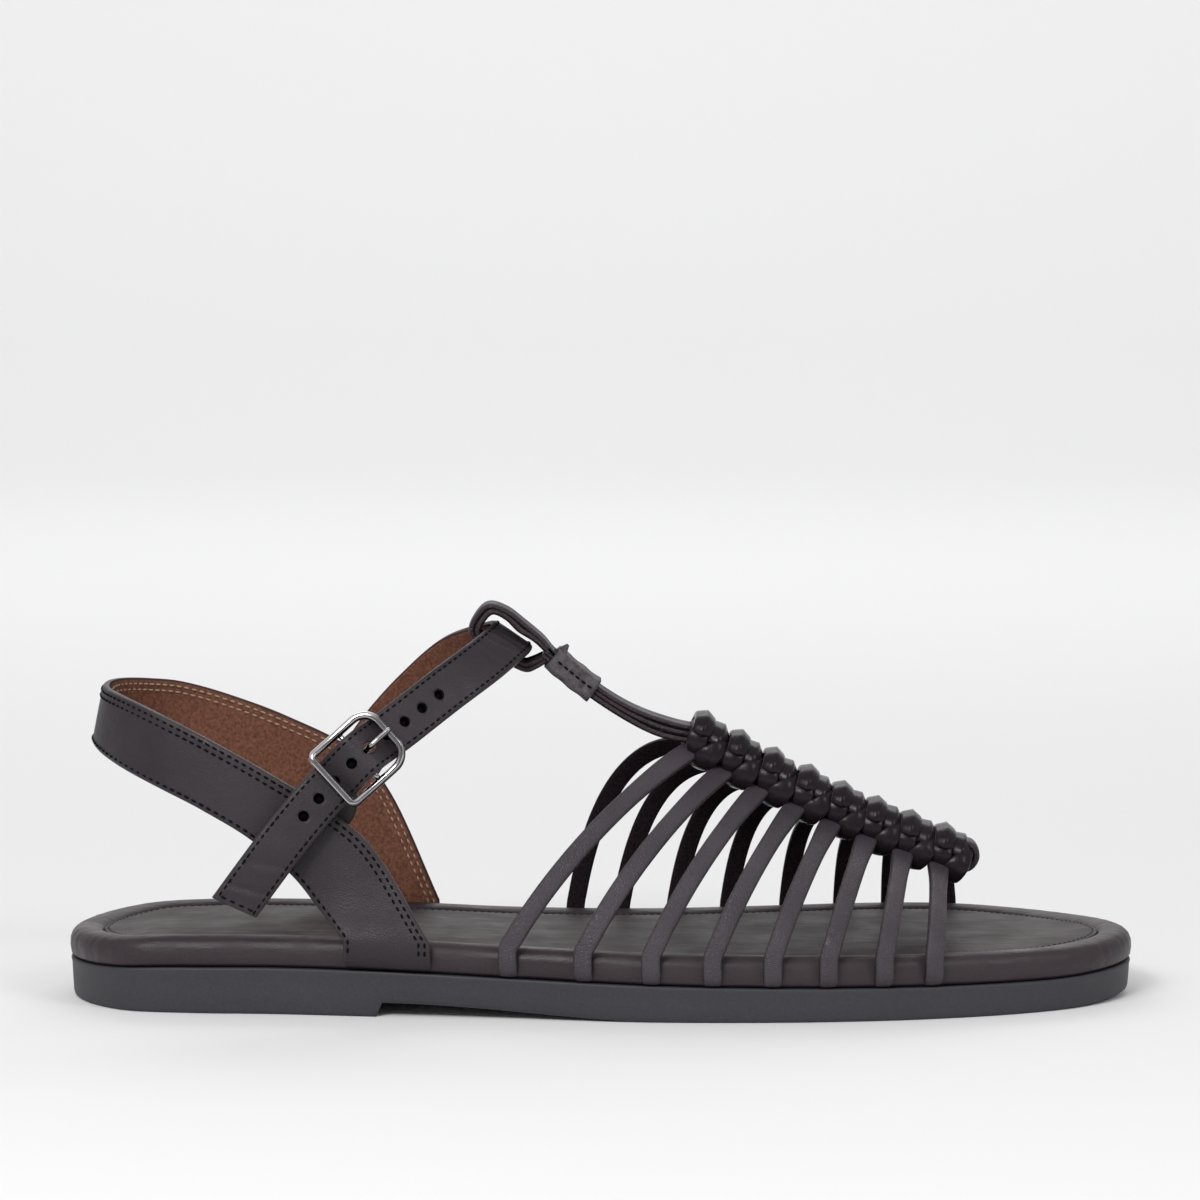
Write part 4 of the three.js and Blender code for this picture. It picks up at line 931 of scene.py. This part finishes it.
outs = path - front_place(0, 0)
steps = np.arange(len(path))
near_ends = np.clip(np.minimum(steps, steps[::-1]) / 12, 0, 1)[:, None]
for layer in (-0.75, 0.75):
    laces += lace_pair(path + unit(outs) * layer * mix(0.7, 1, smooth(near_ends)), outs, 1.35)
make("t_bar_laces", together(laces), thong_leather, "t_bar")


# The keeper
keeper_to = 1 - KEEPER_END_ROOM / BUNDLE_LENGTH
keeper_from = keeper_to - KEEPER_LENGTH / BUNDLE_LENGTH
inner_width = 1.98 * THONG_WIDTH + 2 * GAP
inner_wall = 2 * LACE_LAYER + THONG_WALL + 2 * GAP


def sleeve_ring(u, spare):
    (centre,), (out,) = bundle(u)
    width, wall = inner_width / 2 + spare, inner_wall / 2 + spare
    ring = []
    rounding = 0.9 + 0.6 * spare
    for quarter, (a, b) in enumerate([(1, 1), (-1, 1), (-1, -1), (1, -1)]):
        for k in range(6):
            turn = math.pi / 2 * (quarter + k / 5)
            ring.append(centre + SIDE * (a * (width - rounding) + rounding * math.cos(turn))
                        + out * (b * (wall - rounding) + rounding * math.sin(turn)))
    return ring


sleeve = []
for share in np.linspace(0, 1, 15):
    u = mix(keeper_from, keeper_to, share)
    sleeve.append(sleeve_ring(u, KEEPER_WALL * (0.92 + 0.10 * math.cos(5 * math.pi * share))))
sleeve += [sleeve_ring(mix(keeper_from, keeper_to, share), 0.15) for share in np.linspace(1, 0, 6)]
points = np.concatenate(sleeve)
marks = {"edge": np.zeros(len(points)), "face": np.ones(len(points))}
make("keeper_wrap", (points, tube_faces(len(sleeve), len(sleeve[0]), True), marks), keeper_leather,
     "t_bar_keeper")
keeper_run = np.linspace(mix(keeper_from, keeper_to, 0.06), mix(keeper_from, keeper_to, 0.9), 30)
centres, outs = bundle(keeper_run)
seam = centres - SIDE * (inner_width / 2 + KEEPER_WALL) + outs * 0.5
sew("keeper_stitches", [(seam, np.tile(-SIDE, (len(seam), 1)))], KEEPER_THREAD, black_thread)
(tip_foot,), (tip_out,) = bundle(keeper_to - 0.02)
tip_foot = tip_foot + tip_out * (inner_wall / 2 + 0.4 * KEEPER_WALL) - SIDE * 0.3 * inner_width
tip_path = tip_foot + tip_out * np.linspace(-0.6, 2.4, 6)[:, None]
make("keeper_tip", strap(tip_path, np.tile(-SIDE, (6, 1)), np.linspace(3.4, 0.7, 6), KEEPER_WALL),
     keeper_leather)


# The heel strap

def heel_edge(at, out, up, side):
    return vec(x_of(at), side * out * HEEL_WIDTH / 2, footbed_top(SEAT_AT) + up * HEEL_STRAP_RISE)


def leg_end(side):
    low, low_outs = tuck(HEEL_LEG_BASE[0], side, STRAP_WALL, 1.6 * GAP)
    high, high_outs = tuck(HEEL_LEG_BASE[1], side, STRAP_WALL, 1.6 * GAP)
    return low, high, unit(low_outs + high_outs)


def heel_rows():
    """Low edge and high edge of the heel strap, all the way round from the outer side to the inner side."""
    outer_low, outer_high, outer_outs = leg_end(-1)
    inner_low, inner_high, inner_outs = leg_end(1)
    rows = [(row, -1) for row in HEEL_STRAP_OUTER[::-1]]
    rows += [(row, 1) for row in [HEEL_STRAP_BACK] + HEEL_STRAP_INNER]
    pairs = [(outer_low[-1], outer_high[-1])]
    pairs += [(heel_edge(*row[:3], side), heel_edge(*row[3:], side)) for row, side in rows]
    pairs.append((inner_low[-1], inner_high[-1]))
    body = curve_through([np.concatenate(pair) for pair in pairs], 150)
    centres = (body[:, :3] + body[:, 3:]) / 2
    edges = body[:, 3:] - body[:, :3]
    outs = unit(np.cross(np.gradient(centres, axis=0), edges))
    away = centres - vec(x_of(HEEL_LEG_BASE[0]), 0, 0)
    away[:, 2] = 0
    outs *= np.sign(np.sum(outs * away, 1, keepdims=True))
    low = np.concatenate([outer_low[:-1], body[:, :3], inner_low[:-1][::-1]])
    high = np.concatenate([outer_high[:-1], body[:, 3:], inner_high[:-1][::-1]])
    outs = np.concatenate([outer_outs[:-1], outs, inner_outs[:-1][::-1]])
    return low, high, outs


low, high, heel_outs = heel_rows()
heel_centres = (low + high) / 2
heel_across = unit(high - low)
heel_widths = np.linalg.norm(high - low, axis=1)
stretch = np.linspace(0, 1, len(low))
from_legs = np.clip(4 * np.minimum(stretch, 1 - stretch), 0, 1)
soft_waves = 0.22 * np.sin(stretch * 31) * np.sin(stretch * 12.6) * from_legs
heel_centres = heel_centres + heel_outs * np.minimum(soft_waves, 0.12)[:, None]
heel_band = strap(heel_centres, heel_outs, heel_widths, STRAP_WALL, across=heel_across,
                  section=strap_section(0.36, 3, 14), crown=0.04)
make("heel_band", heel_band, lined_leather, "heel_strap")

visible = slice(3, len(low) - 3)


def heel_row(distance, from_high, face):
    """A line on the heel strap at a distance from one edge, on its outer (1) or inner (-1) face."""
    edge = high if from_high else low
    sign = -1 if from_high else 1
    line = edge + heel_across * sign * distance + heel_outs * face * STRAP_WALL / 2
    return line[visible], (heel_outs * face)[visible]


# Rows of stitches: name, face, distances from the high edge, twice, and the low edge, thread and colour
for name, face, insets, sizes, look in (
    ("heel_stitches_outside", 1, (1.15, 2.55, 1.2), HEEL_THREAD, black_thread),
    ("heel_stitches_inside", -1, (1.2, 2.6, 1.2), LINING_THREAD, tan_thread),
):
    rows = [heel_row(inset, high_edge, face) for inset, high_edge in zip(insets, (True, True, False))]
    sew(name, rows, sizes, look)


# The ankle strap

MEDIAL_SPAN = HEEL_STRAP_INNER[6][1] * HEEL_WIDTH / 2 + STRAP_WALL + GAP
LATERAL_SPAN = HEEL_STRAP_OUTER[6][1] * HEEL_WIDTH / 2 + STRAP_WALL + 2 * GAP + TAB_WALL


def ankle_line():
    seat = footbed_top(SEAT_AT)
    rows = []
    for at, out, up, lean in ANKLE_STRAP:
        centre = vec(x_of(at), -out * (MEDIAL_SPAN if out < 0 else LATERAL_SPAN), seat + up * ANKLE_RISE)
        away = unit(vec(max(0, centre[0] - x_of(0.29)), centre[1], 0))
        tilt = math.radians(lean)
        rows.append([*centre, *(away * math.cos(tilt) + UP * math.sin(tilt))])
    rows = curve_through(rows, 400)
    centres = rows[:, :3]
    along = directions(centres)
    outs = square_to(along, rows[:, 3:])
    run = run_along(centres)
    front = run[np.argmax(centres[:, 1] <= 0)]
    return run - front, centres, along, outs


ANKLE_RUN, ANKLE_CENTRES, ANKLE_ALONG, ANKLE_OUTS = ankle_line()


def ankle_place(distance):
    """Places, ways along, ways out and ways across on the ankle strap's middle line."""
    place, along, out = (follow(np.atleast_1d(distance), ANKLE_RUN, rows)
                         for rows in (ANKLE_CENTRES, ANKLE_ALONG, ANKLE_OUTS))
    return place, unit(along), unit(out), unit(np.cross(along, out))


def strap_lift(distance):
    """How far the strap rises to pass over the buckle's centre bar."""
    reach = BUCKLE_LENGTH / 2 - 1.1 * BUCKLE_BAR / 2
    share = np.clip(np.abs(distance - BUCKLE_DISTANCE) / reach, 0, 1)
    return STRAP_LIFT * (0.5 + 0.5 * np.cos(np.pi * share))


def buckle_point(along, across, out):
    centre, forward, outward, sideways = (v[0] for v in ankle_place(BUCKLE_DISTANCE))
    return centre + forward * along + sideways * across + outward * out


strap_end = BUCKLE_DISTANCE + TAIL_LENGTH
distances = np.linspace(ANKLE_RUN[0], strap_end, 380)
centres, along, outs, across = ankle_place(distances)
centres = centres + outs * strap_lift(distances)[:, None]
points, faces, marks = strap(centres, outs, ANKLE_STRAP_WIDTH, STRAP_WALL, across=across,
                             section=strap_section(0.34, 3, 10), crown=0.05)
# The tail's end is cut aslant, over its last millimetres
slant_run, slant_reach = 3, 2.2
near_tip = np.clip(1 - (marks["run"].max() - marks["run"]) / slant_run, 0, 1)
slant = near_tip * marks["over"] / ANKLE_STRAP_WIDTH * slant_reach
points = points + np.repeat(along, len(points) // len(along), 0) * slant[:, None]
# Creases: millimetres back from the tail's end or on from the front, slope, half width and depth
tail_creases = [
    (5.4, 0.35, 0.8, 0.36), (8.4, -0.3, 0.9, 0.32), (12.5, 0.5, 1.1, 0.24), (21.0, 0.15, 2.2, 0.25),
]
front_creases = [
    (-6.0, 0.3, 0.8, 0.26), (4.4, 0.35, 0.7, 0.34), (6.6, 0.2, 0.7, 0.30), (9.4, 0.5, 0.9, 0.26),
    (14.0, 0.2, 1.6, 0.2),
]
creases = [(marks["run"].max() - back, *rest) for back, *rest in tail_creases]
creases += [(on - ANKLE_RUN[0], *rest) for on, *rest in front_creases]
sunk = np.zeros(len(points))
for place, slope, spread, depth in creases:
    gone = marks["run"] - place - slope * marks["over"]
    sunk += depth * (np.exp(-(gone / spread) ** 2) - 0.45 * np.exp(-((gone - 2 * spread) / spread) ** 2))
sunk *= np.where(marks["face"] > 0.5, 1 - (0.85 * marks["edge"]) ** 2, 0)
points = points - np.repeat(outs, len(points) // len(outs), 0) * sunk[:, None]
ankle = make("ankle_band", (points, faces, marks), lined_leather, "ankle_strap")


def hole_place(i):
    """The middle of a punched hole, and the ways along, out and across there."""
    distance = BUCKLE_DISTANCE - PRONG_HOLE - (i - HOLES_EACH_WAY) * HOLE_PITCH
    centre, forward, outward, sideways = (v[0] for v in ankle_place(distance))
    return centre + outward * strap_lift(distance), forward, outward, sideways


punch_parts = []
for i in range(2 * HOLES_EACH_WAY + 1):
    stretch = 1.5 if i == HOLES_EACH_WAY else 1
    centre, forward, outward, sideways = hole_place(i)
    turn = (2 * np.pi * np.arange(20) / 20)[:, None]
    ring = (np.cos(turn) * forward * stretch + np.sin(turn) * sideways) * HOLE_WIDTH / 2
    rings = [centre + outward * height + ring for height in (-2.5, 2.5)]
    punch_parts.append((np.concatenate(rings), tube_faces(2, 20, False), {}))
punch = add_object("punch", mesh_of("punch", *together(punch_parts)[:2]))
cut = ankle.modifiers.new("holes", "BOOLEAN")
cut.operation = "DIFFERENCE"
cut.object = punch
cut.solver = "EXACT"
bpy.context.view_layer.update()
ankle.data = bpy.data.meshes.new_from_object(ankle.evaluated_get(bpy.context.evaluated_depsgraph_get()))
ankle.modifiers.clear()
bpy.data.objects.remove(punch)


def ankle_row(inset, start, end):
    """A line on the ankle strap's outer face, inset from its middle, and the ways out from it."""
    run = np.linspace(start, end, 120)
    centres, _, outs, across = ankle_place(run)
    return centres + outs * (strap_lift(run) + STRAP_WALL / 2)[:, None] + across * inset, outs


# Dark bars in the black thread's material sit inside the punched holes, under the strap's face: painted
# shade in the holes.
shades = []
for i in range(2 * HOLES_EACH_WAY + 1):
    if i != HOLES_EACH_WAY:
        centre, forward, outward, _ = hole_place(i)
        ends = [centre - outward * depth * STRAP_WALL for depth in (0.42, 0.3, 0.18)]
        shades.append(bar(ends, np.tile(forward, (3, 1)), HOLE_WIDTH / 2 + 0.1))
make("hole_painted_shade", together(shades), black_thread)

row_inset = ANKLE_STRAP_WIDTH / 2 - 1.1
rows = [ankle_row(side * row_inset, ANKLE_RUN[0] + 2, strap_end - 1.5 + side * 0.6) for side in (-1, 1)]
cross = np.linspace(-row_inset, row_inset, 12)
centres, _, outs, across = ankle_place(strap_end - 2.3 + cross / ANKLE_STRAP_WIDTH * 2.1)
rows.append((centres + across * cross[:, None] + outs * (STRAP_WALL / 2 + 0.1), outs))
sew("ankle_stitches", rows, ANKLE_THREAD, black_thread)


# The buckle

half_length = (BUCKLE_LENGTH - BUCKLE_BAR) / 2
half_width = (ANKLE_STRAP_WIDTH + BUCKLE_BAR) / 2 + BUCKLE_SIDE_ROOM
corners = [
    (1, 1, BUCKLE_FOOT_ROUND), (-1, 1, BUCKLE_HEAD_ROUND),
    (-1, -1, BUCKLE_HEAD_ROUND), (1, -1, BUCKLE_FOOT_ROUND),
]
ring = []
for first, (a, b, radius) in enumerate(corners):
    for k in range(9):
        turn = math.pi / 2 * (first + k / 8)
        ring.append((a * (half_length - radius) + radius * math.cos(turn),
                     b * (half_width - radius) + radius * math.sin(turn)))
    if first in (0, 2):
        onward, _, next_radius = corners[first + 1]
        ends = (a * (half_length - radius), onward * (half_length - next_radius))
        ring += [(mix(*ends, t), b * half_width) for t in (0.25, 0.5, 0.75)]
ring = np.array(ring)
heights = FRAME_HEIGHT - BUCKLE_ARCH * (1 - (ring[:, 0] / half_length) ** 2)
path = curve_through([buckle_point(s, w, h) for (s, w), h in zip(ring, heights)], 110, loop=True)
buckle_out = ankle_place(BUCKLE_DISTANCE)[2][0]
frame_part = bar(path, np.tile(buckle_out, (len(path), 1)), 1.12 * BUCKLE_BAR / 2, loop=True, sides=18)
ends = np.array([buckle_point(0, w, BAR_HEIGHT) for w in np.linspace(-half_width, half_width, 8)])
bar_part = bar(ends, np.tile(buckle_out, (8, 1)), CENTRE_BAR / 2)
make("buckle_ring", together([frame_part, bar_part]), nickel, "buckle_frame")

hook_radius = CENTRE_BAR / 2 + GAP + PRONG_WIDTH / 2
rise = float(strap_lift(BUCKLE_DISTANCE - PRONG_HOLE))
tip_height = FRAME_HEIGHT + BUCKLE_BAR / 2 + GAP + PRONG_WIDTH / 2
hook = [math.radians(180 - degrees) for degrees in range(200, 410, 35)]
PRONG = [(hook_radius * math.cos(turn), BAR_HEIGHT + hook_radius * math.sin(turn)) for turn in hook]
PRONG += [
    (-PRONG_HOLE + 0.3 * PRONG_WIDTH, rise - 0.45 * STRAP_WALL),
    (-PRONG_HOLE - 0.4 * PRONG_WIDTH, rise + 0.6 * STRAP_WALL),
    (-PRONG_HOLE - 1.5 * PRONG_WIDTH, tip_height + 0.4 * PRONG_WIDTH),
    (-BUCKLE_LENGTH / 2 + 2 * PRONG_WIDTH, tip_height + 0.2 * PRONG_WIDTH),
    (-BUCKLE_LENGTH / 2 + 0.15 * PRONG_WIDTH, tip_height),
]
path = curve_through([buckle_point(s, 0, h) for s, h in PRONG], 50)
sideways = ankle_place(BUCKLE_DISTANCE)[3][0]
radius = PRONG_WIDTH / 2 * np.clip(np.linspace(9, 0.6, len(path)), 0.55, 1)
pin = bar(path, unit(np.cross(directions(path), sideways)), radius)
make("buckle_pin", pin, nickel, "buckle_prong")

around = []
for degrees in range(0, 360, 30):
    turn = math.radians(degrees)
    reach, drop = (1.9, 0.5) if degrees < 60 or degrees > 300 else (1, 0)
    around.append(buckle_point(reach * TAB_RADIUS * math.cos(turn), 0,
                               BAR_HEIGHT + TAB_RADIUS * (math.sin(turn) - drop)))
path = curve_through(around, 36, loop=True)
slot_half = PRONG_WIDTH / 2 + GAP
side_width = TAB_WIDTH / 2 - slot_half
parts = []
for sign in (-1, 1):
    shifted = path + sideways * sign * (slot_half + side_width / 2)
    parts.append(strap(shifted, path - buckle_point(0, 0, BAR_HEIGHT), side_width, TAB_WALL, loop=True))
inside_low = heel_edge(*HEEL_STRAP_OUTER[6][:3], -1)
inside_high = heel_edge(*HEEL_STRAP_OUTER[6][3:], -1)


def buried(share):
    """A place on the heel strap's inner face, under the buckle, where the tab is sewn on."""
    return mix(inside_low, inside_high, share) + SIDE * (STRAP_WALL / 2 + 2.2 * GAP + TAB_WALL)


rows = [buckle_point(ahead * TAB_RADIUS, 0, BAR_HEIGHT - down * TAB_RADIUS)
        for ahead, down in ((2.3, 1.3), (3.4, 1.9))]
rows += [buried(share) for share in (1.12, 0.8, 0.5)]
path = curve_through(rows, 30)
parts.append(strap(path, np.tile(-SIDE, (len(path), 1)), 0.78 * TAB_WIDTH, 2 * TAB_WALL))
make("buckle_loop", together(parts), strap_leather, "buckle_tab")


# The floor, the light and the camera

def studio_sweep():
    """A floor that curves up into a backdrop."""
    reach, radius, height, half = 1.6, 0.9, 3.2, 4.0
    profile = [(-3.0, 0.0), (reach, 0.0)]
    for turn in np.linspace(0, math.pi / 2, 25)[1:]:
        profile.append((reach + radius * math.sin(turn), radius * (1 - math.cos(turn))))
    profile.append((reach + radius, height))
    vertices = [(x, y, z) for y, z in profile for x in (-half, half)]
    faces = [(2 * i, 2 * i + 1, 2 * i + 3, 2 * i + 2) for i in range(len(profile) - 1)]
    mesh = bpy.data.meshes.new("studio_sweep")
    mesh.from_pydata(vertices, [], faces)
    mesh.polygons.foreach_set("use_smooth", [True] * len(faces))
    floor = add_object("studio_sweep", mesh)
    made, _, shader = material("studio_paper")
    shader.inputs["Base Color"].default_value = (0.86, 0.86, 0.865, 1)
    shader.inputs["Roughness"].default_value = 0.95
    shader.inputs["Specular IOR Level"].default_value = 0.1
    mesh.materials.append(made)


def softbox(name, place, aim, size, power):
    light = bpy.data.lights.new(name, "AREA")
    light.shape = "RECTANGLE"
    light.size, light.size_y = size
    light.energy = power
    lamp = add_object(name, light)
    lamp.location = place
    lamp.rotation_euler = (Vector(aim) - Vector(place)).to_track_quat("-Z", "Y").to_euler()


# Softboxes: name, place, aim, size and watts
SOFTBOXES = [
    ("key", (-0.55, -1.15, 1.05), (0, 0, 0.03), (0.9, 0.6), 11),
    ("fill", (0.9, -0.8, 0.8), (0, 0, 0.04), (0.4, 0.4), 3.4),
    ("back", (0.0, 1.1, 1.0), (0, 0, 0.05), (1.4, 0.5), 4),
    ("spark", (-0.35, -1.0, 0.75), (0, 0, 0.05), (0.16, 0.16), 2.4),
    ("backdrop", (0, 1.3, 1.6), (0, 2.6, 0.6), (2.5, 0.6), 14),
]
CAMERA_PLACE = (-0.0002, -1.2856, 0.2190)
CAMERA_TILT = 84.4
CAMERA_LENS = 165.04
SENSOR_WIDTH = 36

studio_sweep()
bpy.context.scene.view_settings.view_transform = "Standard"
world = bpy.data.worlds.new("studio")
bpy.context.scene.world = world
world.use_nodes = True
background = world.node_tree.nodes["Background"]
background.inputs["Color"].default_value = (0.95, 0.95, 0.955, 1)
background.inputs["Strength"].default_value = 0.5
for row in SOFTBOXES:
    softbox(*row)

camera_data = bpy.data.cameras.new("camera")
camera = add_object("camera", camera_data)
bpy.context.scene.camera = camera
camera.location = CAMERA_PLACE
camera.rotation_euler = (math.radians(CAMERA_TILT), 0, 0)
camera_data.sensor_width = SENSOR_WIDTH
camera_data.lens = CAMERA_LENS
